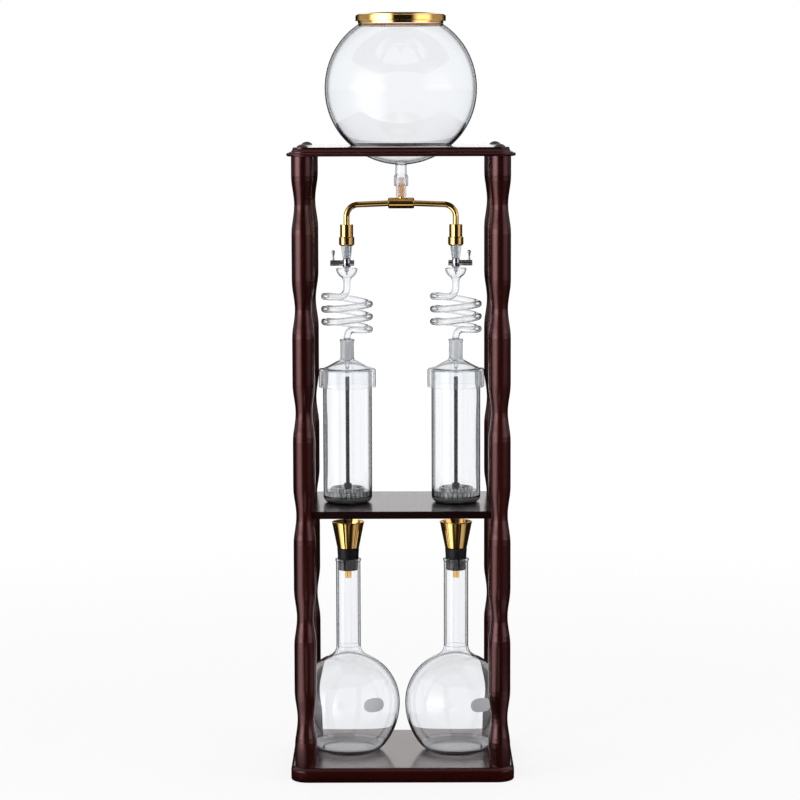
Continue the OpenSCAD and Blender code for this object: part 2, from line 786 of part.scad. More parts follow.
module jar() {
    color(glass) rotate_extrude() difference() {
        polygon(concat(
            [[0, shelf_z - outlet_reach], [outlet_r - 1.2, shelf_z - outlet_reach],
             [outlet_r, shelf_z - outlet_reach + 8], [outlet_r, shelf_top]],
            arc([jar_r - heel_r, shelf_top + heel_r], heel_r, -90, 0, 8),
            [[jar_r, jar_top - 0.8], [jar_r - 0.8, jar_top], [0, jar_top]]
        ));
        polygon(concat(
            [[0, shelf_z - outlet_reach - 1], [outlet_bore - 1, shelf_z - outlet_reach - 1],
             [outlet_bore, shelf_z - outlet_reach + 8], [outlet_bore, shelf_top + jar_floor]],
            arc([jar_in_r - floor_round, shelf_top + jar_floor + floor_round], floor_round, -90, 0, 8),
            [[jar_in_r, jar_top + 1], [0, jar_top + 1]]
        ));
    }
}

// Strainer: a stepped disc with rings of holes, held down on a soft seal ring
module strainer() {
    top = strainer_t + strainer_step_h;
    color(frosted) translate([0, 0, strainer_z]) difference() {
        rotate_extrude() polygon([
            [0, 2], [strainer_step_r - 2.5, 2], [strainer_step_r - 2.5, 0], [strainer_r - 1, 0],
            [strainer_r, 1], [strainer_r, strainer_t - 1], [strainer_r - 1, strainer_t],
            [strainer_step_r, strainer_t], [strainer_step_r, top - 1], [strainer_step_r - 1, top],
            [strainer_step_r - 3, top], [strainer_step_r - 3.5, strainer_t], [0, strainer_t]
        ]);
        for (ring = [1 : hole_rings], k = [0 : 6 * ring - 1])
            rotate([0, 0, 60 * k / ring + 10 * ring]) translate([ring * 5 + 2.5, 0, 1])
                cylinder(r = hole_r, h = strainer_t, $fn = 24);
        translate([0, 0, 1]) cylinder(r = rod_r - 0.6 + fit, h = strainer_t);
    }
}

module strainer_seal() {
    ring_r = jar_in_r - floor_round - gap;
    color(silicone) translate([0, 0, strainer_z - strainer_lift + gap]) difference() {
        cylinder(r = ring_r, h = strainer_lift - gap);
        translate([0, 0, -1]) cylinder(r = ring_r - 4, h = strainer_lift + 2);
    }
}

module strainer_hub() {
    color(steel) translate([0, 0, strainer_z + strainer_t]) difference() {
        rotate_extrude() polygon([
            [0, 0], [hub_r, 0], [hub_r, 2], [hub_r - 0.7, 2.5], [hub_r - 0.7, 3.5], [hub_r, 4],
            [hub_r, hub_h - 0.8], [hub_r - 0.8, hub_h], [0, hub_h]
        ]);
        translate([0, 0, -1]) cylinder(r = rod_r + fit, h = hub_h + 2);
    }
}

// Rod by which the strainer is drawn out, with a ridged grip at its end
module strainer_rod() {
    grip_len = 19;
    ridges = 9;
    foot = strainer_z + strainer_t;
    top = jar_top - rod_low;
    color(steel) rotate_extrude($fn = 48) polygon(concat(
        [[0, foot - 6], [rod_r - 0.6, foot - 6], [rod_r - 0.6, foot], [rod_r, foot]],
        [for (k = [0 : 2 * ridges - 1])
            [rod_r + (k % 2 == 0 ? 0.1 : 0.5), top - grip_len + (grip_len - 1.5) * k / (2 * ridges - 1)]],
        [[rod_r - 0.5, top], [0, top]]
    ));
}

// ---------- Flask, stopper and funnel ----------

// Outline of the bulb, grown inwards by inset: an ellipse below the belt, a circle above
function bulb(a, inset) = [
    (flask_r - inset) * cos(a),
    bulb_z + (a < 0 ? bulb_low - inset : flask_r - inset) * sin(a)
];
foot_angle = -asin((flask_belt - foot_round * 0.55) / bulb_low);
shoulder_angle = asin((sqrt(pow(flask_r + neck_blend, 2) - pow(flask_neck_r + neck_blend, 2)))
    / (flask_r + neck_blend));
blend_z = bulb_z + (flask_r + neck_blend) * sin(shoulder_angle);
foot_flat = bulb(foot_angle, 0)[0] - foot_round * 0.8;

function flask_outline(inset) = concat(
    [[0, flask_z + inset], [foot_flat - inset, flask_z + inset]],
    [for (k = [0 : 40]) bulb(foot_angle + (shoulder_angle - foot_angle) * k / 40, inset)],
    arc([flask_neck_r + neck_blend, blend_z], neck_blend + inset, 180 + shoulder_angle, 180, 8)
);

module flask() {
    lip = 3;
    color(glass) rotate_extrude($fn = 144) difference() {
        polygon(concat(
            flask_outline(0),
            [[flask_neck_r, flask_top - lip - 1], [flask_neck_r + 0.9, flask_top - lip],
             [flask_neck_r + 0.9, flask_top - 0.8], [flask_neck_r, flask_top], [0, flask_top]]
        ));
        polygon(concat(
            flask_outline(flask_wall),
            [[neck_bore, flask_top - 20], [neck_bore, flask_top + 1], [0, flask_top + 1]]
        ));
    }
}

module stopper() {
    r_low = stopper_rim_r - stopper_slope * stopper_deep;
    r_high = stopper_rim_r + stopper_slope * stopper_proud;
    color(rubber) difference() {
        rotate_extrude() polygon([
            [0, stopper_z], [r_low - 0.6, stopper_z], [r_low, stopper_z + 0.6],
            [r_high, funnel_z - 0.8], [r_high - 0.8, funnel_z], [0, funnel_z]
        ]);
        translate([0, 0, stopper_z - 1]) cylinder(r = spout_r + fit, h = funnel_z - stopper_z + 2);
        translate([0, 9, stopper_z - 1]) cylinder(r = vent_r, h = funnel_z - stopper_z + 2);
    }
}

module funnel() {
    slope = (funnel_r - funnel_foot_r) / funnel_h;
    color(brass) rotate_extrude() polygon([
        [spout_r, funnel_z - spout_len], [spout_r, funnel_z], [funnel_foot_r - 0.6, funnel_z],
        [funnel_foot_r, funnel_z + 0.6], [funnel_r, funnel_z + funnel_h - 1.4],
        [funnel_r + 0.6, funnel_z + funnel_h - 0.9], [funnel_r + 0.6, funnel_z + funnel_h - 0.4],
        [funnel_r + 0.2, funnel_z + funnel_h], [funnel_r - funnel_wall, funnel_z + funnel_h],
        [funnel_foot_r - funnel_wall + slope * 9, funnel_z + 9],
        [spout_bore, funnel_z + 2], [spout_bore, funnel_z - spout_len]
    ]);
}

// Least gap between turns of a spiral, from points at least half a turn apart on its path
least_gap = min([for (a = [0 : len(spiral_path) - 1],
                      b = [a + turn_steps : 1 : len(spiral_path) - 1])
    norm(spiral_path[a] - spiral_path[b])]) - 2 * coil_tube_r;
echo(least_gap_between_spiral_turns = least_gap);

// ---------- The nodes ----------

module left() { translate([-line_x, 0, 0]) children(); }
module right() { translate([line_x, 0, 0]) children(); }

base_plate();
top_plate();
shelf();
post(-1, -1);  // post_front_left
post(1, -1);  // post_front_right
post(-1, 1);  // post_rear_left
post(1, 1);  // post_rear_right
top_bolts();
bottom_bolts();
shelf_dowels();
bowl();
bowl_collar();
lid();
bowl_plug();
riser_tube();
tee();
rotate([0, 0, 180]) arm();  // arm_left
arm();  // arm_right
left() union_body();  // union_left
right() union_body();  // union_right
left() union_nut();  // union_nut_left
right() union_nut();  // union_nut_right
left() tap_sleeve();  // tap_sleeve_left
right() tap_sleeve();  // tap_sleeve_right
left() tap_stem();  // tap_stem_left
right() tap_stem();  // tap_stem_right
left() tap_body(-1);  // tap_body_left
right() tap_body(1);  // tap_body_right
left() tap_plug(-1);  // tap_plug_left
right() tap_plug(1);  // tap_plug_right
left() tap_lever(-1);  // tap_lever_left
right() tap_lever(1);  // tap_lever_right
left() drip_nozzle();  // drip_nozzle_left
right() drip_nozzle();  // drip_nozzle_right
left() spiral();  // spiral_left
right() spiral();  // spiral_right
left() hood();  // hood_left
right() hood();  // hood_right
left() jar();  // jar_left
right() jar();  // jar_right
left() strainer();  // strainer_left
right() strainer();  // strainer_right
left() strainer_seal();  // strainer_seal_left
right() strainer_seal();  // strainer_seal_right
left() strainer_hub();  // strainer_hub_left
right() strainer_hub();  // strainer_hub_right
left() strainer_rod();  // strainer_rod_left
right() strainer_rod();  // strainer_rod_right
left() flask();  // flask_left
right() flask();  // flask_right
left() stopper();  // stopper_left
right() stopper();  // stopper_right
left() funnel();  // funnel_left
right() funnel();  // funnel_right
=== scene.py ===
# %% [markdown]
# # Dressing a cold drip coffee tower
# The real object is a tall rack of lacquered wood. It carries a glass water bowl, a brass
# manifold with two drip taps, two glass spirals, two jars for the ground coffee and two
# round flasks. The exact solids come from the CAD model, so this script doesn't move them:
# it gives them their finishes, and it replaces the glassware, whose looks depend on smooth
# walls and melted rims. First the imported part is loaded.

import json
import math

import bpy
import numpy as np
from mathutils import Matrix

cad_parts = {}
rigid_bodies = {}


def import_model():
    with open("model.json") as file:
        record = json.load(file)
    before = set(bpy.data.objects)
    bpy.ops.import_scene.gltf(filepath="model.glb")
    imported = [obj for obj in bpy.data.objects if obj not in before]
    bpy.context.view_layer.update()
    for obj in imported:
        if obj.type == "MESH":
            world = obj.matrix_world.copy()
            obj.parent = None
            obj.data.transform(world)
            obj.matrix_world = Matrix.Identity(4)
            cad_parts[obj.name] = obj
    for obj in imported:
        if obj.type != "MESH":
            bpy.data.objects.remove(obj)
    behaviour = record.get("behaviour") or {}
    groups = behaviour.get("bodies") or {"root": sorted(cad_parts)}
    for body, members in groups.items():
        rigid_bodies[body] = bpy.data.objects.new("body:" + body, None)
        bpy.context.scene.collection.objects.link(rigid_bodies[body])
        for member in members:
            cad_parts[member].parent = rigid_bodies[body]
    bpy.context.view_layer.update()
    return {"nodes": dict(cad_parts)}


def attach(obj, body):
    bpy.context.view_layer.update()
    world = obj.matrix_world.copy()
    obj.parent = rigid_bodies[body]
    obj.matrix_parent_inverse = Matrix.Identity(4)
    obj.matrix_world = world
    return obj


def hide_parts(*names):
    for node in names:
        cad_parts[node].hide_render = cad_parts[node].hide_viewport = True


for left_over in list(bpy.data.objects):
    bpy.data.objects.remove(left_over, do_unlink=True)
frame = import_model()
nodes = frame["nodes"]

# %% [markdown]
# ## Camera
# A long lens from nearly four metres away keeps the posts upright, as in the product
# photograph. The camera stands level with the bowl and tips down a little, so the top plate
# is seen almost edge on and the base plate shows its upper face. A shifted lens would keep
# the posts exactly parallel, but the shift would stay on when the camera walks round the
# tower and push the tower out of the picture, so the camera tips instead.

# %% Set the camera
FOCAL_PX, PICTURE_PX = 2819.2, 800
tilt_down, roll = math.radians(6.32), math.radians(0.16)
camera_data = bpy.data.cameras.new("camera")
camera_data.sensor_width = 36.0
camera_data.lens = FOCAL_PX / PICTURE_PX * camera_data.sensor_width
camera = bpy.data.objects.new("camera", camera_data)
camera.location = (-0.0011, -3.8763, 0.9407)
camera.rotation_euler = (math.pi / 2 - tilt_down, roll, 0.0)
bpy.context.scene.collection.objects.link(camera)
bpy.context.scene.camera = camera
print("lens:", round(camera_data.lens, 1), "mm")

# %% [markdown]
# ## Surfaces from arrays
# Everything turned or drawn from glass tube is a grid of points: rings round an axis or
# along a path. The rings are worked out as one array, and the faces between them follow from
# counting. Modifiers such as Screw could turn a profile too, but a grid also takes the bent
# tubes, and its points can be checked. A face list is turned over when the volume that it
# encloses comes out negative, so that every surface faces outwards.

# %% Grids of points and their faces
MM = 0.001


def quads(rows, cols, wrap=False):
    """Faces of a grid whose columns close into rings: point (i, j) is number i * cols + j,
    and a face joins (i, j), (i, j + 1), (i + 1, j + 1) and (i + 1, j). With wrap the last
    ring joins the first."""
    i = np.arange(rows if wrap else rows - 1)[:, None]
    j = np.arange(cols)[None, :]
    right, below = (j + 1) % cols, (i + 1) % rows
    corners = [i * cols + j, i * cols + right, below * cols + right, below * cols + j]
    return np.stack([np.broadcast_to(c, (len(i), cols)) for c in corners], -1).reshape(-1, 4)


def enclosed(points, faces):
    """Volume inside closed quads or triangles: the sum over fans of a . (b x c) / 6."""
    p = points[faces]
    total = 0.0
    for k in range(1, faces.shape[1] - 1):
        total += np.einsum("ij,ij->i", p[:, 0], np.cross(p[:, k], p[:, k + 1])).sum() / 6
    return total


def piece(name, points, face_sets, finish, body, replaced=(), slot="clear_glass"):
    """Makes a closed mesh from an array of points in millimetres and arrays of faces, turned
    outwards, with its finish, and lets it ride on a body in place of the named nodes."""
    volume = sum(enclosed(points, faces) for faces in face_sets)
    outwards = [faces if volume > 0 else faces[:, ::-1] for faces in face_sets]
    mesh = bpy.data.meshes.new(name)
    faces = [face for part in outwards for face in part.tolist()]
    mesh.from_pydata((points * MM).tolist(), [], faces)
    mesh.validate()
    mesh.shade_smooth()
    mesh.materials.append(finish)
    obj = bpy.data.objects.new(name, mesh)
    bpy.context.scene.collection.objects.link(obj)
    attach(obj, body)
    if replaced:
        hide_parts(*replaced)
    print(f"{name}: {len(mesh.polygons)} faces, {abs(volume) / 1000:.1f} ml of material")
    return obj


# %% [markdown]
# Real edges are never perfectly sharp: glass rims are melted round, and turned metal has a
# small break. `eased` replaces each corner of a profile by a short parabola and adds a point
# just before and after it, which keeps the flats next to it shading flat. A Bevel modifier
# would do the same on the finished mesh, but would have to find the corners there again.

# %% Soften corners, turn profiles
def arc(centre, radius, start, end, steps=24):
    """Points of a circle round centre: c + r (cos a, sin a), with a in degrees."""
    a = np.radians(np.linspace(start, end, steps + 1))
    return np.column_stack([centre[0] + radius * np.cos(a), centre[1] + radius * np.sin(a)])


def eased(profile, radius, closed=True, steps=5, least_turn=0.3):
    """Rounds the corners of a profile. Corner P with unit directions a and b to its
    neighbours becomes (1 - t)^2 A + 2 t (1 - t) P + t^2 B, where A = P + d a, B = P + d b, and
    d is the radius, or a third of a shorter side. Corners that turn less than least_turn,
    in radians, stay as they are."""
    p = np.asarray(profile, float)
    before = np.roll(p, 1, 0) if closed else np.vstack([p[:1], p[:-1]])
    after = np.roll(p, -1, 0) if closed else np.vstack([p[1:], p[-1:]])
    to_a, to_b = before - p, after - p
    len_a, len_b = np.linalg.norm(to_a, axis=1), np.linalg.norm(to_b, axis=1)
    dir_a = to_a / np.maximum(len_a, 1e-9)[:, None]
    dir_b = to_b / np.maximum(len_b, 1e-9)[:, None]
    turn = np.pi - np.arccos(np.clip((dir_a * dir_b).sum(1), -1, 1))
    d = np.minimum(radius, np.minimum(len_a, len_b) / 3)
    d = np.where((turn < least_turn) | (len_a < 1e-9) | (len_b < 1e-9), 0.0, d)[:, None, None]
    t = np.linspace(0, 1, steps)[None, :, None]
    base, da, db = p[:, None, :], dir_a[:, None, :] * d, dir_b[:, None, :] * d
    curve = (1 - t) ** 2 * (base + da) + 2 * t * (1 - t) * base + t**2 * (base + db)
    full = np.concatenate([base + 1.4 * da, curve, base + 1.4 * db], 1).reshape(-1, 2)
    keep = np.ones(len(full), bool)
    keep[1:] = np.linalg.norm(np.diff(full, axis=0), axis=1) > 1e-6
    return full[keep]


def turned(profile, sides=128, centre=(0.0, 0.0)):
    """Turns a profile of (r, z) points about the upright axis through centre:
    x = cx + r cos a, y = cy + r sin a. A profile that starts and ends on the axis is closed
    with a fan at each pole; any other profile is a closed loop."""
    profile = np.asarray(profile, float)
    poles = abs(profile[0, 0]) < 1e-9 and abs(profile[-1, 0]) < 1e-9
    rings = profile[1:-1] if poles else profile
    a = np.linspace(0, 2 * np.pi, sides, endpoint=False)
    r, z = rings[:, :1], rings[:, 1:]
    points = np.stack([centre[0] + r * np.cos(a), centre[1] + r * np.sin(a), z + 0 * a], -1)
    points = points.reshape(-1, 3)
    if not poles:
        return points, [quads(len(rings), sides, wrap=True)]
    ends = [[centre[0], centre[1], profile[0, 1]], [centre[0], centre[1], profile[-1, 1]]]
    first, last = len(points), len(points) + 1
    j = np.arange(sides)
    low = np.stack([j * 0 + first, (j + 1) % sides, j], -1)
    row = (len(rings) - 1) * sides
    high = np.stack([j * 0 + last, row + j, row + (j + 1) % sides], -1)
    return np.vstack([points, ends]), [quads(len(rings), sides), low, high]


# %% [markdown]
# ## Finishes
# A finish is a small sum: a base value, plus grain, minus wear. Written as Python expressions
# it stays readable, so one class wraps a socket and adds the Math nodes behind each operator,
# and one method adds every other kind of node.

# %% Sockets that can be added and multiplied
class Sock:
    """A node's output that can be written in sums, also with the number on the left."""

    def __init__(self, finish, socket):
        self.finish, self.socket = finish, socket

    def _math(self, operation, first, second):
        return self.finish.node("ShaderNodeMath", {"operation": operation}, {0: first, 1: second})

    def __add__(self, other):
        return self._math("ADD", self, other)

    def __radd__(self, other):
        return self._math("ADD", other, self)

    def __sub__(self, other):
        return self._math("SUBTRACT", self, other)

    def __rsub__(self, other):
        return self._math("SUBTRACT", other, self)

    def __mul__(self, other):
        return self._math("MULTIPLY", self, other)

    def __rmul__(self, other):
        return self._math("MULTIPLY", other, self)


class Finish:
    """A material or world while its nodes are added."""

    def __init__(self, name, owner=None):
        self.owner = owner or bpy.data.materials.new(name)
        self.owner.use_nodes = True
        self.tree = self.owner.node_tree
        self.tree.nodes.clear()

    def node(self, kind, settings=None, values=None, out=0):
        """Adds a node: its settings first, then its sockets' values or links, and returns the
        output asked for."""
        made = self.tree.nodes.new(kind)
        for key, value in (settings or {}).items():
            setattr(made, key, value)
        for key, value in (values or {}).items():
            if isinstance(value, Sock):
                self.tree.links.new(value.socket, made.inputs[key])
            else:
                made.inputs[key].default_value = value
        return Sock(self, made.outputs[out]) if made.outputs else None

    def one(self, operation, value, second=0.5):
        """A Math node for what the operators don't say."""
        return self.node("ShaderNodeMath", {"operation": operation}, {0: value, 1: second})

    def part(self, vector, axis):
        """One coordinate of a vector."""
        return self.node("ShaderNodeSeparateXYZ", None, {0: vector}, axis)

    def blend(self, factor, first, second):
        """One colour into another by a factor."""
        settings = {"data_type": "RGBA", "clamp_factor": True}
        return self.node("ShaderNodeMix", settings, {0: factor, 6: first, 7: second}, 2)

    def place(self, scale, shift=(0, 0, 0)):
        """Object coordinates, stretched: a large scale makes a pattern fine along that axis.
        One number stands for all three."""
        where = self.node("ShaderNodeTexCoord", out="Object")
        scale = scale if isinstance(scale, (list, tuple)) else (scale,) * 3
        values = {"Vector": where, "Scale": scale, "Location": shift}
        return self.node("ShaderNodeMapping", None, values)

    def noise(self, vector, detail=4.0, roughness=0.5):
        """Cloudy noise between 0 and 1."""
        values = {"Vector": vector, "Scale": 1.0, "Detail": detail, "Roughness": roughness}
        return self.node("ShaderNodeTexNoise", None, values)

    def between(self, value, low, high, to_low=0.0, to_high=1.0):
        """Maps low..high smoothly to another range, and stays there beyond it."""
        settings = {"interpolation_type": "SMOOTHSTEP"}
        values = {"Value": value, 1: low, 2: high, 3: to_low, 4: to_high}
        return self.node("ShaderNodeMapRange", settings, values)

    def bump(self, height, distance):
        """A height made into a normal, where a height of 1 stands distance metres proud."""
        values = {"Height": height, "Distance": distance, "Strength": 1.0}
        return self.node("ShaderNodeBump", None, values)

    def skin(self, inside=None, **values):
        """The Principled shader at the end, with its sockets written with _ for spaces, and
        the volume inside, if there is one."""
        named = {key.replace("_", " "): value for key, value in values.items()}
        ends = {"Surface": self.node("ShaderNodeBsdfPrincipled", None, named)}
        if inside:
            ends["Volume"] = inside
        self.node("ShaderNodeOutputMaterial", None, ends)
        return self.owner


# %% [markdown]
# ### Lacquered wood
# The rack is mahogany, stained dark red-brown and sealed under gloss lacquer. The grain runs
# along each piece and shows as slightly lighter and darker streaks with fine dark pores. The
# surface is faintly wavy and its reflection tinted, so that streaks of light stay reddish;
# the lacquer is a clear coat on top. One function makes every wood, since the shelf is only
# stained darker, and the direction of the grain is given by the scale.

# %% Wood
def lacquered_wood(name, deep, light, along, shine, gloss=0.38):
    """Wood with its grain along one axis (0 = x, 2 = z), under lacquer: shine is its least
    roughness, and gloss the strength of its reflections."""
    f = Finish(name)
    across = [34.0, 34.0, 34.0]
    across[along] = 1.6
    cloud = f.noise(f.place([s * 0.5 for s in across]), detail=3.0)
    wavy = f.noise(f.place(across, (3, 1, 2)), detail=5.0, roughness=0.62)
    fine = [1500.0, 1500.0, 1500.0]
    fine[along] = 26.0
    pores = f.between(f.noise(f.place(fine), detail=2.0, roughness=0.6), 0.56, 0.72)
    grain = f.between(wavy * 0.75 + cloud * 0.25, 0.36, 0.66)
    stain = f.blend(grain, deep, light)
    colour = f.blend(pores * 0.55, stain, [c * 0.35 for c in deep[:3]] + [1])
    rough = shine + 0.06 * cloud + 0.05 * pores
    lay = f.noise(f.place(5.0), detail=2.0)
    height = 0.5 * lay - 0.05 * pores + 0.04 * grain
    return f.skin(
        Base_Color=colour,
        Roughness=rough,
        Normal=f.bump(height, 0.0006),
        Specular_IOR_Level=1.6 * gloss,
        Specular_Tint=(1.0, 0.41, 0.44, 1),
        Coat_Weight=0.6 * gloss,
        Coat_Roughness=0.15,
        Coat_IOR=1.5,
    )


red_deep, red_light = (0.009, 0.0010, 0.0008, 1), (0.026, 0.0030, 0.0024, 1)
dark_deep, dark_light = (0.004, 0.0016, 0.0018, 1), (0.010, 0.0036, 0.0038, 1)
post_wood = lacquered_wood("mahogany_upright", red_deep, red_light, along=2, shine=0.19)
plate_wood = lacquered_wood(
    "mahogany_level", red_deep, red_light, along=0, shine=0.14, gloss=0.36
)
shelf_wood = lacquered_wood(
    "dark_wood_level", dark_deep, dark_light, along=0, shine=0.14, gloss=0.25
)
print("woods:", post_wood.name, plate_wood.name, shelf_wood.name)

# %% [markdown]
# ### Metals
# The brass fittings are turned and polished, with hair-fine turning lines and slight
# handling haze. The lines only disturb the roughness and the normal; the haze also deepens
# the colour a little where the metal has dulled. The taps are chromed steel, and the screw
# caps on the top plate are blackened steel, bright where they have rubbed. The strainers'
# rods are dark, with rolled ridges.

# %% Brass, chromed steel, blackened steel
def polished_metal(name, bright, dull, rough, line_scale):
    """Turned and polished metal: haze clouds, fine lines round the upright axis."""
    f = Finish(name)
    haze = f.between(f.noise(f.place(55.0)), 0.42, 0.7)
    lines = f.noise(f.place([8.0, 8.0, line_scale], (2, 5, 1)), detail=3.0, roughness=0.7)
    specks = f.between(f.noise(f.place(900.0), detail=2.0), 0.66, 0.8)
    return f.skin(
        Base_Color=f.blend(haze * 0.45 + specks * 0.15, bright, dull),
        Metallic=1.0,
        Roughness=rough + 0.03 * haze + 0.03 * lines + 0.03 * specks,
        Normal=f.bump(lines, 0.000008),
    )


brass = polished_metal(
    "polished_brass", (0.90, 0.55, 0.18, 1), (0.74, 0.40, 0.10, 1), rough=0.06, line_scale=2600.0
)
chrome = polished_metal(
    "chromed_steel", (0.42, 0.42, 0.44, 1), (0.30, 0.30, 0.32, 1), rough=0.08, line_scale=3200.0
)


def blackened_steel():
    """Black oxide with the steel showing through in worn specks."""
    f = Finish("blackened_steel")
    worn = f.between(f.noise(f.place(420.0), roughness=0.6), 0.6, 0.74)
    cloud = f.noise(f.place(90.0), detail=3.0)
    return f.skin(
        Base_Color=f.blend(worn * 0.5, (0.012, 0.011, 0.012, 1), (0.16, 0.15, 0.15, 1)),
        Metallic=0.35 + 0.5 * worn,
        Roughness=0.24 + 0.12 * cloud,
        Normal=f.bump(cloud, 0.00008),
        Coat_Weight=0.5,
        Coat_Roughness=0.12,
    )


def rod_steel():
    """Dark steel with rolled ridges round the rod, about 2 mm apart, its colour darker in the
    grooves: painted shade.
    """
    f = Finish("dark_ridged_steel")
    bands = {"wave_type": "BANDS", "bands_direction": "Z", "wave_profile": "SIN"}
    values = {"Vector": f.place(1.0), "Scale": 160.0, "Distortion": 0.0}
    ridge = f.node("ShaderNodeTexWave", bands, values, "Fac")
    cloud = f.noise(f.place(140.0), detail=3.0)
    return f.skin(
        # painted shade: the colour follows the ridges, darker in the grooves and lighter on the
        # crests
        Base_Color=f.blend(ridge, (0.012, 0.012, 0.014, 1), (0.09, 0.09, 0.095, 1)),
        Metallic=1.0,
        Roughness=0.2 + 0.14 * cloud,
        Normal=f.bump(ridge, 0.0004),
    )


black_steel, ridged_steel = blackened_steel(), rod_steel()
print("metals:", brass.name, chrome.name, black_steel.name, ridged_steel.name)

# %% [markdown]
# ### Glass
# The glassware is clear borosilicate. Its walls are real here: light is bent at each of the
# four surfaces and a little is absorbed on the way, which greys the middle of the bowl and
# darkens its outline. On top of that, a Layer Weight darkens the tint towards grazing angles
# and so paints a dark outline round each glass: painted shade. Thin walls get a thin painted
# outline and narrow tubes a broad one, so each kind of glassware has its own limits. The
# shadow of clear glass would be far too dark without caustics, so it casts none. Where joints
# are ground, it is frosted.

# %% Glass finishes
GLASS_IOR = 1.47


def glass(name, edge_from, edge_to, outline_shade_depth, glare=0.0, milky=0.0, absorbs=16.0):
    """Clear glass with real absorption, and a painted dark outline where it is seen edge on: the
    tint falls from clear to almost black as 1 - cos of the viewing angle goes from edge_from to
    edge_to, a painted shade as deep as outline_shade_depth. Thick, tightly curved glass also
    glares, by a coat, and scatters a milky share of the light."""
    f = Finish(name)
    facing = f.node("ShaderNodeLayerWeight", None, {"Blend": 0.5}, "Facing")
    # painted shade: towards grazing angles the tint is painted almost black, a dark outline
    edge = f.between(facing, edge_from, edge_to, 0.0, outline_shade_depth)
    absorption = {"Color": (0.56, 0.66, 0.74, 1), "Density": absorbs}
    return f.skin(
        inside=f.node("ShaderNodeVolumeAbsorption", None, absorption),
        Base_Color=f.blend(edge, (0.985, 0.99, 1.0, 1), (0.01, 0.012, 0.016, 1)),
        Roughness=0.0,
        IOR=GLASS_IOR,
        Transmission_Weight=1.0 - milky,
        Coat_Weight=glare,
        Coat_Roughness=0.02,
        Coat_IOR=2.2,
    )


bowl_glass = glass("bowl_glass", 0.68, 0.85, 1.0)
bulb_glass = glass("bulb_glass", 0.64, 0.86, 0.99)
clear_glass = glass("clear_glass", 0.50, 0.72, 0.99)
neck_glass = glass("neck_glass", 0.40, 0.66, 0.97)
tube_glass = glass("tube_glass", 0.50, 0.75, 0.99)
heel_glass = glass("heel_glass", 0.78, 0.96, 0.9, glare=0.9, milky=0.12)


def ground_glass():
    """Frosted joint: rough outside, whitened by the grinding, with faint rings."""
    f = Finish("ground_glass")
    grit = f.noise(f.place(1400.0), detail=3.0, roughness=0.7)
    rings = f.noise(f.place([6.0, 6.0, 900.0]), detail=2.0)
    return f.skin(
        Base_Color=f.blend(rings * 0.5, (0.99, 0.99, 1.0, 1), (0.90, 0.92, 0.94, 1)),
        Roughness=0.24 + 0.14 * grit,
        IOR=1.25,
        Transmission_Weight=0.6,
        Normal=f.bump(grit, 0.00003),
    )


frosted_glass = ground_glass()
LINE_X = 75.0  # distance of each drip line from the middle, in millimetres


def pressed_glass():
    """The strainers: thick pressed glass with ridges on top, at the angles a where sin 30a is
    high, coloured nearly black in the deep grooves: painted shade. Both stand on a drip line, so
    a round either axis is atan2(y, |x| - LINE_X)."""
    f = Finish("strainer_glass")
    where = f.node("ShaderNodeTexCoord", out="Object")
    x_at, y_at = f.part(where, "X"), f.part(where, "Y")
    angle = f.one("ARCTAN2", y_at, f.one("ABSOLUTE", x_at) - LINE_X * MM)
    ridge = f.one("SINE", angle * 30.0)
    cloud = f.noise(f.place(120.0))
    # painted shade: the deep grooves between the ridges are coloured nearly black
    painted_groove_shade = f.between(ridge, -1.0, -0.2)
    return f.skin(
        Base_Color=f.blend(painted_groove_shade, (0.10, 0.10, 0.11, 1), (0.88, 0.89, 0.91, 1)),
        Roughness=0.03 + 0.05 * cloud,
        IOR=GLASS_IOR,
        Transmission_Weight=0.88,
        Coat_Weight=0.6,
        Coat_Roughness=0.03,
        Coat_IOR=2.0,
        Normal=f.bump(ridge * 0.5 + cloud * 0.3, 0.0009),
    )


strainer_glass = pressed_glass()
print("glass:", clear_glass.name, tube_glass.name, frosted_glass.name, strainer_glass.name)

# %% [markdown]
# ### Silicone and rubber
# The plug under the bowl is clear, slightly pink silicone, and the cones on the taps are
# greyer: light passes, but blurred. The stoppers in the flasks are moulded black rubber with
# a satin skin, a little greyer where hands have held it.

# %% Silicone and rubber
def translucent_silicone(name, deep, light, milky):
    """Translucent silicone with a soft skin: milky is the share that scatters."""
    f = Finish(name)
    cloud = f.noise(f.place([160.0, 160.0, 60.0]), detail=3.0)
    return f.skin(
        Base_Color=f.blend(cloud, deep, light),
        Roughness=0.05 + 0.05 * cloud,
        IOR=1.41,
        Transmission_Weight=1.0 - milky,
        Normal=f.bump(cloud, 0.00001),
    )


def moulded_rubber():
    """Black rubber: fine pores, and greyer where it has been handled."""
    f = Finish("black_rubber")
    pores = f.noise(f.place(1600.0), detail=3.0, roughness=0.7)
    worn = f.between(f.noise(f.place(80.0)), 0.45, 0.75)
    return f.skin(
        Base_Color=f.blend(worn, (0.004, 0.004, 0.005, 1), (0.014, 0.014, 0.015, 1)),
        Roughness=0.42 + 0.14 * pores + 0.08 * worn,
        Normal=f.bump(pores, 0.00004),
        Specular_IOR_Level=0.3,
    )


pink_silicone = translucent_silicone(
    "silicone", (0.86, 0.76, 0.74, 1), (0.97, 0.90, 0.88, 1), milky=0.12
)
grey_silicone = translucent_silicone(
    "grey_silicone", (0.70, 0.74, 0.80, 1), (0.86, 0.89, 0.93, 1), milky=0.18
)
rubber = moulded_rubber()
print("soft:", pink_silicone.name, grey_silicone.name, rubber.name)

# %% [markdown]
# ## The CAD's own solids
# Turned wood, moulded plates and machined fittings come from the CAD with exact surfaces, so
# they are carried over as they are. Only their finishes change: the longest beginning of a
# node's name that the table holds decides.

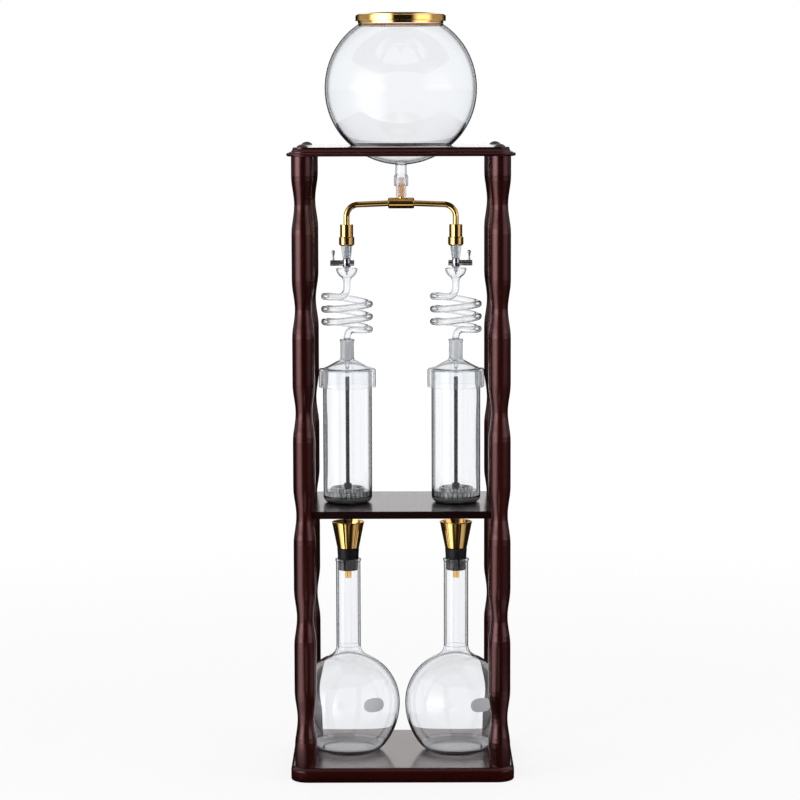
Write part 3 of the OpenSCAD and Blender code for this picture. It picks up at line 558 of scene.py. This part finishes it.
# %% Finish the nodes that stay
FINISH_OF = {
    "base_plate": plate_wood,
    "top_plate": plate_wood,
    "shelf_dowels": shelf_wood,
    "shelf": shelf_wood,
    "post": post_wood,
    "top_bolts": black_steel,
    "bottom_bolts": black_steel,
    "bowl_collar": brass,
    "lid": brass,
    "bowl_plug": pink_silicone,
    "riser_tube": brass,
    "tee": brass,
    "arm": brass,
    "union": brass,
    "tap_sleeve": grey_silicone,
    "tap": chrome,
    "drip_nozzle": chrome,
    "strainer_seal": grey_silicone,
    "strainer_hub": ridged_steel,
    "strainer_rod": ridged_steel,
    "strainer": strainer_glass,
    "stopper": rubber,
    "funnel": brass,
}
for node_name, solid in nodes.items():
    fits = [start for start in FINISH_OF if node_name.startswith(start)]
    if fits:
        solid.data.materials.clear()
        solid.data.materials.append(FINISH_OF[max(fits, key=len)])
    else:
        print("left for a new piece:", node_name)

# %% [markdown]
# ## The water bowl
# A blown sphere with its top opened into a short neck, which carries the brass collar, and a
# drain tube drawn out below, ending in a ground socket. The outer and the inner wall are one
# closed profile, turned about the axis; its corners are eased, as fire leaves them.

# %% Bowl
PLATE_TOP = 862.0
BOWL_R, BOWL_Z, BOWL_WALL = 104.5, PLATE_TOP + 78.5, 3.0
MOUTH_R, MOUTH_RISE, DRAIN_R, SOCKET_R = 57.5, 86.5, 7.8, 9.7
SOCKET_Z, SOCKET_TOP, MOUTH_TOP = 807.0, 823.0, 1038.0
# below TUBE_FROM the neck glass paints a broad dark outline: painted shade
TUBE_FROM = PLATE_TOP - 26.0  # below this the drain is a narrow tube, with a broad dark edge
bowl_in, mouth_in, drain_in = BOWL_R - BOWL_WALL, MOUTH_R - BOWL_WALL, DRAIN_R - 2
mouth_foot = BOWL_Z + MOUTH_RISE + 0.8


def sphere_angles(radius, low_r, high_rise):
    """The angles in degrees at which a circle of this radius has low_r beside its axis at the
    bottom, -acos(low_r / radius), and high_rise above its centre, asin(high_rise / radius)."""
    low = -math.degrees(math.acos(low_r / radius))
    return low, math.degrees(math.asin(high_rise / radius))


bowl_profile = np.vstack(
    [
        [[SOCKET_R - 1.9, SOCKET_Z], [SOCKET_R, SOCKET_Z], [SOCKET_R, SOCKET_TOP - 2]],
        [[DRAIN_R, SOCKET_TOP]],
        arc((0, BOWL_Z), BOWL_R, *sphere_angles(BOWL_R, DRAIN_R, MOUTH_RISE), 90),
        [[MOUTH_R, mouth_foot], [MOUTH_R, MOUTH_TOP]],
        [[mouth_in, MOUTH_TOP], [mouth_in, mouth_foot]],
        arc((0, BOWL_Z), bowl_in, *sphere_angles(bowl_in, drain_in, MOUTH_RISE - 1)[::-1], 90),
        [[drain_in, SOCKET_TOP - 1], [SOCKET_R - 2.6, SOCKET_TOP - 3]],
    ]
)


def middles(obj):
    """The middle of each face in millimetres."""
    centres = np.empty(len(obj.data.polygons) * 3)
    obj.data.polygons.foreach_get("center", centres)
    return centres.reshape(-1, 3) / MM


def paint(obj, finishes, chosen):
    """Adds finishes after the first one and gives each face the one that its number in chosen
    says: 0 is the piece's own, 1 the first one added."""
    for finish in finishes:
        obj.data.materials.append(finish)
    obj.data.polygons.foreach_set("material_index", np.asarray(chosen, dtype=np.int32))


bowl = piece(
    "bowl_glass", *turned(eased(bowl_profile, 0.9), 160), bowl_glass, "water_bowl", ["bowl"]
)
paint(bowl, [neck_glass], middles(bowl)[:, 2] < TUBE_FROM)

# %% [markdown]
# ## The spirals
# A glassblower bends one long tube: from the little cup that catches the drops it turns
# forwards and left, runs five half circles down, and returns to the axis above the ground
# cone. So the whole piece is one tube whose radius changes: rings along the path, wide at the
# cup and the cone. The rings' frame is carried along without twist, and the outer and the
# inner skin join at both ends. A curve with bevel would do for the plain tube, but not for
# the hollow wall, the cup and the cone in one piece.

# %% The path of a spiral
LINES = (("left", -LINE_X), ("right", LINE_X))
COIL_R, TUBE_R, BORE_R = 31.0, 4.75, 3.45
NECK_TOP = 595.0
DROPS = np.array([10.5, 7.0, 10.5, 7.0, 10.5])  # of the half turns, behind and in front by turns
COIL_LOW = NECK_TOP + 15.0
COIL_HIGH = COIL_LOW + DROPS.sum()
BEND_R = COIL_R / (1 + math.sqrt(2))


def spiral_path(bend_steps=14, arc_steps=20, turn_steps=40):
    """Centreline of the tube. The bends are quarter circles, the level arcs turn by 135
    degrees, and half turn i is (-+R cos t, -+R sin t) while its height drops by
    d (1 - cos t) / 2, so that it starts and ends level."""
    b = np.radians(90 * np.arange(bend_steps) / bend_steps)
    out = BEND_R * (1 - np.cos(b)) / math.sqrt(2)
    first = np.column_stack([-out, -out, COIL_HIGH + BEND_R * (1 - np.sin(b))])
    a = np.radians(-45 - 135 * np.arange(arc_steps) / arc_steps)
    lead_x = COIL_R - BEND_R
    lead_in = np.column_stack(
        [-lead_x + BEND_R * np.cos(a), BEND_R * np.sin(a), np.full(arc_steps, COIL_HIGH)]
    )
    t = np.arange(turn_steps * len(DROPS)) / turn_steps
    half = np.minimum(t.astype(int), len(DROPS) - 1)
    side, u = np.where(half % 2 == 0, 1.0, -1.0), np.pi * (t - half)
    start = COIL_HIGH - np.concatenate([[0], np.cumsum(DROPS)[:-1]])[half]
    turns = np.column_stack(
        [
            -side * COIL_R * np.cos(u),
            side * COIL_R * np.sin(u),
            start - DROPS[half] * (1 - np.cos(u)) / 2,
        ]
    )
    a = np.radians(-135 * np.arange(arc_steps) / arc_steps)
    lead_out = np.column_stack(
        [lead_x + BEND_R * np.cos(a), BEND_R * np.sin(a), np.full(arc_steps, COIL_LOW)]
    )
    b = np.radians(90 * np.arange(bend_steps + 1) / bend_steps)
    back = BEND_R * (1 - np.sin(b)) / math.sqrt(2)
    last = np.column_stack([back, -back, COIL_LOW - BEND_R * (1 - np.cos(b))])
    return np.vstack([first, lead_in, turns, lead_out, last])


coil = spiral_path()
coil_length = np.linalg.norm(np.diff(coil, axis=0), axis=1).sum()
print("spiral path:", len(coil), "points,", round(coil_length), "mm")


# %% The tube's skins along the path
def frames(path):
    """Two side directions at each point, carried along: each is the last one, minus its part
    along the new heading, made unit again."""
    heading = np.gradient(path, axis=0)
    heading[0] = heading[-1] = (0, 0, -1)
    heading /= np.linalg.norm(heading, axis=1)[:, None]
    side = np.empty_like(path)
    side[0] = (1, 0, 0)
    for k in range(1, len(path)):
        level = side[k - 1] - heading[k] * (side[k - 1] @ heading[k])
        side[k] = level / np.linalg.norm(level)
    return side, np.cross(heading, side)


def ring_rows(centres, radii, side, other, count):
    """Rings of count points: centre + r (cos a side + sin a other)."""
    a = np.linspace(0, 2 * np.pi, count, endpoint=False)
    round_a = np.cos(a)[None, :, None] * side[:, None, :]
    round_b = np.sin(a)[None, :, None] * other[:, None, :]
    return centres[:, None, :] + radii[:, None, None] * (round_a + round_b)


def on_axis(profile, side, other, count):
    """Rings round the axis for a profile of (r, z) points, in a frame that doesn't turn."""
    profile = np.asarray(profile, float)
    centres = np.column_stack([0 * profile[:, 0], 0 * profile[:, 0], profile[:, 1]])
    same = np.broadcast_to(side, centres.shape), np.broadcast_to(other, centres.shape)
    return ring_rows(centres, profile[:, 0], *same, count)


CUP_R, CUP_WALL = 14.7, 1.5
CUP_Z = COIL_HIGH + BEND_R + 11.0 + CUP_R
CONE_FOOT, TIP_Z = 567.5, 551.5
FLANGE_R, CONE_R, TIP_R = 9.9, 7.4, 3.5
neck_end = COIL_HIGH + BEND_R
cup_in_r = CUP_R - CUP_WALL
cup_out = np.vstack(
    [
        [[CUP_R - 0.5 * CUP_WALL, CUP_Z]],
        arc((0, CUP_Z), CUP_R, -2, -math.degrees(math.acos((TUBE_R + 2.2) / CUP_R))),
        [[TUBE_R + 0.7, neck_end + 9.2], [TUBE_R, neck_end + 6.5], [TUBE_R, neck_end + 3]],
    ]
)
cup_in = np.vstack(
    [
        [[BORE_R, neck_end + 3], [BORE_R, neck_end + 8], [BORE_R + 0.6, neck_end + 10.6]],
        arc((0, CUP_Z), cup_in_r, -math.degrees(math.acos((BORE_R + 2.2) / cup_in_r)), -2),
        [[CUP_R - 0.75 * CUP_WALL, CUP_Z - 0.1]],
    ]
)
low_end = COIL_LOW - BEND_R
cone_out = eased(
    [
        [TUBE_R, low_end],
        [TUBE_R + 0.4, low_end - 0.4],
        [FLANGE_R, NECK_TOP + 1.4],
        [FLANGE_R, NECK_TOP + 0.35],
        [CONE_R, NECK_TOP + 0.35],
        [CONE_R - 0.7, CONE_FOOT],
        [TIP_R, CONE_FOOT - 4],
        [TIP_R - 0.7, TIP_Z + 7],
        [TIP_R, TIP_Z + 5],
        [1.6, TIP_Z],
    ],
    0.6,
    closed=False,
)
cone_in = eased(
    [
        [0.8, TIP_Z],
        [TIP_R - 1.5, TIP_Z + 6],
        [TIP_R - 1.5, CONE_FOOT - 2],
        [BORE_R, CONE_FOOT + 6],
        [BORE_R, low_end],
    ],
    0.6,
    closed=False,
)


def spiral_points(count=28):
    """Outer skin from the cup's rim to the tip, then the inner skin back up, as one closed
    run of rings."""
    side, other = frames(coil)
    top, foot = (side[0], other[0], count), (side[-1], other[-1], count)
    plain = np.ones(len(coil))
    rows = [
        on_axis(cup_out, *top),
        ring_rows(coil, plain * TUBE_R, side, other, count),
        on_axis(cone_out[1:], *foot),
        on_axis(cone_in[:-1], *foot),
        ring_rows(coil[::-1], plain * BORE_R, side[::-1], other[::-1], count),
        on_axis(cup_in, *top),
    ]
    return np.concatenate(rows).reshape(-1, 3), [quads(sum(map(len, rows)), count, wrap=True)]


spiral_mesh, spiral_faces = spiral_points()
between_skins = 5.5  # a radius that lies between the cone's outer and inner skin
on_cone = (spiral_mesh[:, 2] < NECK_TOP + 0.2) & (spiral_mesh[:, 2] > CONE_FOOT - 0.5)
ground = on_cone[spiral_faces[0]].all(axis=1)
for hand, x in LINES:
    spiral = piece(
        f"spiral_{hand}_glass",
        spiral_mesh + (x, 0, 0),
        spiral_faces,
        tube_glass,
        f"glass_spiral_{hand}",
        [f"spiral_{hand}"],
    )
    outer = np.hypot(middles(spiral)[:, 0] - x, middles(spiral)[:, 1]) > between_skins
    paint(spiral, [frosted_glass], ground & outer)

# %% [markdown]
# ## Hoods, jars and flasks
# The same turning makes the rest of the glassware. The hood is a low dome with a skirt over
# the jar and a ground neck; the jar is a straight cup with a rounded heel and an outlet tube
# through the shelf; the flask is a sphere, a little fuller towards its flat foot, that runs
# out into a long neck. Their rims are melted round, which `eased` does with a radius of about
# half the wall.

# %% Hood and jar
SHELF_Z, SHELF_TOP, JAR_TOP = 360.0, 370.0, 554.0
HOOD_R, HOOD_SEAT = 39.3, JAR_TOP + 0.3
NECK_R, NECK_Z, SKIRT_Z, SHOULDER_R = 9.4, HOOD_SEAT + 15.2, JAR_TOP - 24.0, 32.0
hood_top = HOOD_SEAT + 2.0
hood_profile = np.vstack(
    [
        [[HOOD_R, SKIRT_Z], [HOOD_R, hood_top - 4]],
        arc((HOOD_R - 4, hood_top - 4), 4, 5, 80, 8),
        [[SHOULDER_R + 0.6, hood_top + 0.4], [SHOULDER_R - 2.4, hood_top + 1.4]],
        arc((NECK_R + 5, NECK_Z + 2), 5, 250, 180, 12),
        [[NECK_R, NECK_TOP - 3], [NECK_R + 0.9, NECK_TOP - 1.4], [NECK_R + 0.9, NECK_TOP]],
        [[CONE_R + 0.3, NECK_TOP], [CONE_R + 0.3, NECK_TOP - 1], [CONE_R - 0.4, NECK_Z - 2]],
        [[NECK_R - 1, NECK_Z - 3.4], [SHOULDER_R - 3.4, HOOD_SEAT + 1.2]],
        [[SHOULDER_R - 1, HOOD_SEAT], [HOOD_R - 3.6, HOOD_SEAT], [HOOD_R - 2, HOOD_SEAT - 1.6]],
        [[HOOD_R - 2, SKIRT_Z]],
    ]
)
JAR_R, JAR_WALL, HEEL_R, OUTLET_R, FLOOR = 33.8, 2.2, 8.0, 5.0, 5.0
jar_in = JAR_R - JAR_WALL
outlet_z = SHELF_Z - 14.0
jar_profile = np.vstack(
    [
        [[OUTLET_R - 2.8, outlet_z], [OUTLET_R - 1.2, outlet_z], [OUTLET_R, outlet_z + 8]],
        [[OUTLET_R, SHELF_TOP]],
        arc((JAR_R - HEEL_R, SHELF_TOP + HEEL_R), HEEL_R, -90, 0, 16),
        [[JAR_R, JAR_TOP], [jar_in, JAR_TOP]],
        arc((jar_in - 5, SHELF_TOP + FLOOR + 5), 5, 0, -90, 14),
        [[OUTLET_R - 1.8, SHELF_TOP + FLOOR], [OUTLET_R - 1.8, outlet_z + 8]],
    ]
)
print("profiles:", len(hood_profile), "points of a hood,", len(jar_profile), "of a jar")

# %% Flask
BASE_TOP, FLASK_R, BELT, FLASK_WALL, FLASK_NECK = 20.0, 71.2, 66.5, 2.3, 17.0
BULB_Z, FLASK_TOP = BASE_TOP + BELT, BASE_TOP + 270.0
BULB_LOW, FOOT_ROUND, BLEND_R = FLASK_R * 1.17, 9.0, 16.0
foot_angle = -math.asin((BELT - FOOT_ROUND * 0.55) / BULB_LOW)
reach = FLASK_R + BLEND_R
blend_up = math.sqrt(reach**2 - (FLASK_NECK + BLEND_R) ** 2)
shoulder_angle = math.asin(blend_up / reach)


def flask_outline(inset, steps=90):
    """Outline of the bulb and the foot of the neck, grown inwards by inset: an ellipse below
    the belt, a circle above it, and a hollow arc into the neck."""
    a = np.linspace(foot_angle, shoulder_angle, steps)
    tall = np.where(a < 0, BULB_LOW - inset, FLASK_R - inset)
    bulb = np.column_stack([(FLASK_R - inset) * np.cos(a), BULB_Z + tall * np.sin(a)])
    turn_in, beside = math.degrees(shoulder_angle), (FLASK_NECK + BLEND_R, BULB_Z + blend_up)
    neck = arc(beside, BLEND_R + inset, 180 + turn_in, 180, 16)
    flat = FLASK_R * math.cos(foot_angle) - FOOT_ROUND * 0.8 - inset
    foot = [[r, BASE_TOP + inset] for r in (0, flat * 0.5, flat)]
    return np.vstack([foot, bulb, neck])


bore = FLASK_NECK - FLASK_WALL - 0.1
flask_profile = np.vstack(
    [
        flask_outline(0.0),
        [[FLASK_NECK, FLASK_TOP - 4], [FLASK_NECK + 0.9, FLASK_TOP - 3]],
        [[FLASK_NECK + 0.9, FLASK_TOP], [bore, FLASK_TOP], [bore, FLASK_TOP - 20]],
        flask_outline(FLASK_WALL)[::-1],
    ]
)
print("profile:", len(flask_profile), "points of a flask")

# %% Turn them on both drip lines
def glassware(kind, body, hand, mesh, finish):
    """One turned glass in place of the CAD's node of that kind on that side."""
    name = f"{kind}_{hand}"
    return piece(f"{name}_glass", *mesh, finish, f"{body}_{hand}", [name])


for hand, x in LINES:
    shape = turned(eased(hood_profile, 0.9), 128, (x, 0))
    hood = glassware("hood", "jar_hood", hand, shape, bulb_glass)
    away = np.hypot(middles(hood)[:, 0] - x, middles(hood)[:, 1])
    ground = (middles(hood)[:, 2] > NECK_Z - 2) & (away < CONE_R + 0.4)
    paint(hood, [frosted_glass], ground)

    shape = turned(eased(jar_profile, 1.0), 128, (x, 0))
    jar = glassware("jar", "grounds_jar", hand, shape, clear_glass)
    paint(jar, [heel_glass], middles(jar)[:, 2] < SHELF_TOP + HEEL_R - 0.5)

    shape = turned(eased(flask_profile, 1.1, closed=False), 144, (x, 0))
    flask = glassware("flask", "receiving_flask", hand, shape, bulb_glass)
    height = middles(flask)[:, 2]
    in_neck, in_heel = height > BULB_Z + blend_up, height < BASE_TOP + FOOT_ROUND
    paint(flask, [neck_glass, heel_glass], in_neck + 2 * in_heel)

# %% [markdown]
# ## The write-on spot
# Laboratory flasks carry a frosted oval to pencil a note on. It is a thin skin of white
# enamel, so it is made as a very flat closed shell that follows the bulb: a disc of rings is
# laid on the sphere by angle and height. A mask in the glass could paint it too, but a baked
# texture would then have to carry its crisp edge.

# %% Spot
def enamel():
    """Frosted white enamel: matt, with a fine grit."""
    f = Finish("frosted_enamel")
    grit = f.noise(f.place(2200.0), detail=3.0, roughness=0.7)
    return f.skin(
        Base_Color=f.blend(grit, (0.50, 0.50, 0.53, 1), (0.62, 0.62, 0.65, 1)),
        Roughness=0.6 + 0.2 * grit,
        Normal=f.bump(grit, 0.00002),
    )


frosted_enamel = enamel()


def spot_points(x, bearing, height, half_w=16.0, half_h=9.6, rings=14, sides=96, thick=0.12):
    """A disc on the bulb. Its edge is a rounded oval: with c = cos a and s = sin a it is
    (sign c |c|^p, sign s |s|^p). Its width is measured along the bulb, its height upright.
    The outer skin stands proud by thick and meets the inner one at the edge."""
    squareness, lift = 0.8, 0.02
    a = np.linspace(0, 2 * np.pi, sides, endpoint=False)
    oval_x = np.sign(np.cos(a)) * np.abs(np.cos(a)) ** squareness * half_w
    oval_z = np.sign(np.sin(a)) * np.abs(np.sin(a)) ** squareness * half_h
    grow = np.linspace(0.04, 1, rings)
    proud = np.concatenate([lift + thick * (grow < 0.985), np.full(rings, lift)])
    grow = np.concatenate([grow, grow[::-1]])[:, None]
    z = height + grow * oval_z
    out = np.sqrt(np.maximum(FLASK_R**2 - (z - BULB_Z) ** 2, 0)) + proud[:, None]
    angle = bearing + grow * oval_x / FLASK_R
    points = np.stack([x + out * np.cos(angle), out * np.sin(angle), z], -1).reshape(-1, 3)
    centre = [
        [x + (FLASK_R + p) * math.cos(bearing), (FLASK_R + p) * math.sin(bearing), height]
        for p in (lift + thick, lift)
    ]
    rows, j = 2 * rings, np.arange(sides)
    first = rows * sides
    fan_a = np.stack([j * 0 + first, (j + 1) % sides, j], -1)
    row = (rows - 1) * sides
    fan_b = np.stack([j * 0 + first + 1, row + j, row + (j + 1) % sides], -1)
    return np.vstack([points, centre]), [quads(rows, sides), fan_a, fan_b]


SPOT_Z, SPOT_TURN = 95.0, {"left": 31, "right": 28.5}
for hand, x in LINES:
    shape = spot_points(x, math.radians(SPOT_TURN[hand] - 90), SPOT_Z)
    piece(f"spot_{hand}", *shape, frosted_enamel, f"receiving_flask_{hand}")

# %% [markdown]
# ## Light, floor and background
# Product shots of glass stand in a bright, open studio: white behind, dark beside the
# camera, and two tall soft boxes in front. The world gives the even light and the white
# background. For mirror rays it holds the studio instead: a wide soft panel on the left, a
# weaker one on the right, bright wings behind and darkness between them, which draws the
# black bands in polished brass and the soft streaks on the posts. The panels are dimmer
# overhead and near the floor, and a strip of backdrop shines on the tops of the wood. Two
# large area lamps light everything else and cast the shadows; mirrors don't see them, so no
# streak comes twice. Importance sampling of the world stays off, because it can't tell
# mirror rays apart.

# %% World
world = bpy.data.worlds.new("studio")
bpy.context.scene.world = world
sky = Finish("studio", world)
toward = sky.node("ShaderNodeTexCoord", out="Generated")
x_part, y_part, z_part = [sky.part(toward, axis) for axis in "XYZ"]
above = sky.between(z_part, 0.25, 0.9)
bearing = sky.one("ARCTAN2", x_part, y_part * -1.0)
astern = sky.one("ABSOLUTE", bearing)
# In this cell a height is the sine of a ray's elevation, and a bearing is in radians.
LEFT_PANEL, RIGHT_PANEL, DARK = 6.9, 1.5, 0.015  # radiance of the panels and of the rest


def panel(finish, angle, rise_from, rise_to, fall_from, fall_to):
    """A soft-edged panel between two bearings in degrees: one smooth step up, one down."""
    up = finish.between(angle, math.radians(rise_from), math.radians(rise_to))
    down = finish.between(angle, math.radians(fall_from), math.radians(fall_to))
    return up * (1.0 - down)


def studio(finish, angle, left_share, right_share):
    """What a mirror sees around the tower: the wide left panel and the weaker right one, each
    with the share of its light that shows at this height or distance."""
    left = panel(finish, angle, -92, -53, -41, -16)
    right = panel(finish, angle, 26, 50, 70, 92)
    return LEFT_PANEL * left * left_share + RIGHT_PANEL * right * right_share


low = (1.0 - sky.between(z_part, 0.1, 0.6)) * (1.0 - 0.45 * sky.between(z_part, 0.03, 0.1))
wings = panel(sky, astern, 72, 96, 122, 146)
skyline = 2.35 - 1.5 * sky.between(z_part, 0.02, 0.08) + 0.4 * sky.between(z_part, 0.14, 0.24)
backdrop = sky.between(astern, 2.93, 3.02) * (1.0 - sky.between(z_part, 0.22, 0.45)) * skyline
risen = sky.between(z_part, -0.09, -0.02)
higher = sky.between(z_part, 0.0, 0.05)
panels = studio(sky, bearing, 0.4 + 0.6 * risen, 0.07 + 0.93 * risen + 0.6 * higher) * low
behind = (0.42 * wings + backdrop) * sky.between(z_part, -0.06, 0.02)
mirrored = DARK + panels + behind + 0.5 * above
seen = sky.node("ShaderNodeLightPath", out="Is Camera Ray")
through = sky.node("ShaderNodeLightPath", out="Is Transmission Ray")
glossy = sky.node("ShaderNodeLightPath", out="Is Glossy Ray")
plain = 0.62 + 0.12 * above  # the even light on matt surfaces
clear_view = 1.0 - 0.5 * above  # the background as glass shows it
strength = (
    seen
    + (1 - seen) * through * clear_view
    + (1 - seen) * (1 - through) * (glossy * mirrored + (1 - glossy) * plain)
)
background = sky.node("ShaderNodeBackground", None, {"Color": (1, 1, 1, 1), "Strength": strength})
sky.node("ShaderNodeOutputWorld", None, {"Surface": background})
world.cycles.sampling_method = "NONE"
print("world:", len(sky.tree.nodes), "nodes")


# %% Soft boxes
def soft_box(name, bearing, width, radiance, height=2.3, distance=2.2, centre_z=0.95):
    """A tall area lamp at a bearing in degrees from the camera's side, aimed at the axis. Its
    power is radiance times pi times its area."""
    lamp = bpy.data.lights.new(name, "AREA")
    lamp.shape, lamp.size, lamp.size_y = "RECTANGLE", width, height
    lamp.energy = radiance * math.pi * width * height
    obj = bpy.data.objects.new(name, lamp)
    turn = math.radians(bearing)
    obj.location = (distance * math.sin(turn), -distance * math.cos(turn), centre_z)
    obj.rotation_euler = (math.pi / 2, 0, turn)
    obj.visible_camera = obj.visible_glossy = obj.visible_transmission = False
    bpy.context.scene.collection.objects.link(obj)
    print(f"{name}: {lamp.energy:.1f} W at {bearing} degrees")


soft_box("soft_box_left", -42, width=0.9, radiance=3.0)
soft_box("soft_box_right", 58, width=0.7, radiance=2.0)


# %% Floor
def floor_finish():
    """White for the camera and glass, apart from a light shadow; for mirrors it is dark and
    carries the two panels' glow by its bearing from the tower, atan2(x, -y), from a distance
    r = sqrt(x^2 + y^2) on, with a patch in front that brightens the undersides of the brass;
    plain otherwise. Far off, where the lamps don't reach, it glows a little more, so that no
    horizon shows."""
    f = Finish("floor")
    rays = {
        kind: f.node("ShaderNodeLightPath", out=f"Is {kind} Ray")
        for kind in ("Camera", "Glossy", "Transmission")
    }
    shown = f.one("MAXIMUM", rays["Camera"], rays["Transmission"])
    where = f.node("ShaderNodeTexCoord", out="Object")
    away = f.node("ShaderNodeVectorMath", {"operation": "LENGTH"}, {0: where}, 1)
    x_at, y_at = f.part(where, "X"), f.part(where, "Y")
    angle = f.one("ARCTAN2", x_at, y_at * -1.0)
    aside = f.one("ABSOLUTE", angle)
    near = f.between(away, 0.5, 0.75) * (1.0 - f.between(away, 1.1, 1.7))
    patch = near * (1.0 - f.between(aside, 0.09, 0.16))
    right_share = 0.4 - 0.33 * f.between(away, 0.65, 0.9)
    panels = studio(f, angle, 0.4, right_share) * f.between(away, 0.2, 0.5)
    carried = DARK + panels + 0.9 * patch
    bright = 1.04 + 0.10 * f.between(away, 0.5, 3.0)
    glow = shown * bright + (1.0 - shown) * carried
    by_light = f.one("MAXIMUM", shown, rays["Glossy"])
    matt = f.node("ShaderNodeBsdfDiffuse", None, {"Color": (0.82, 0.82, 0.82, 1)})
    light = f.node("ShaderNodeEmission", None, {"Color": (1, 1, 1, 1), "Strength": glow})
    share = shown * 0.8 + (by_light - shown)
    mixed = f.node("ShaderNodeMixShader", None, {0: share, 1: matt, 2: light})
    f.node("ShaderNodeOutputMaterial", None, {"Surface": mixed})
    return f.owner


floor_mesh = bpy.data.meshes.new("floor")
corners = [(-9, -6, 0), (9, -6, 0), (9, 12, 0), (-9, 12, 0)]
floor_mesh.from_pydata(corners, [], [(0, 1, 2, 3)])
floor_mesh.materials.append(floor_finish())
floor = bpy.data.objects.new("floor", floor_mesh)
bpy.context.scene.collection.objects.link(floor)
print(f"floor: {floor.dimensions.x:.0f} x {floor.dimensions.y:.0f} m")

# %% [markdown]
# ## Render settings that belong to the scene
# Rays through two jars, a hood and a spiral cross more than a dozen glass surfaces, so more
# bounces are allowed than usual. The colours are shown as they are, without a film look, and
# the clear glass stops casting shadows here.

# %% Bounces and colour
scene = bpy.context.scene
scene.cycles.max_bounces = 32
scene.cycles.transmission_bounces = 32
scene.cycles.glossy_bounces = 8
scene.cycles.transparent_max_bounces = 16
scene.view_settings.view_transform = "Standard"
see_through = {bowl_glass, bulb_glass, clear_glass, tube_glass}
for obj in bpy.data.objects:
    if obj.type == "MESH" and obj.data.materials and obj.data.materials[0] in see_through:
        obj.visible_shadow = False
        print("casts no shadow:", obj.name)
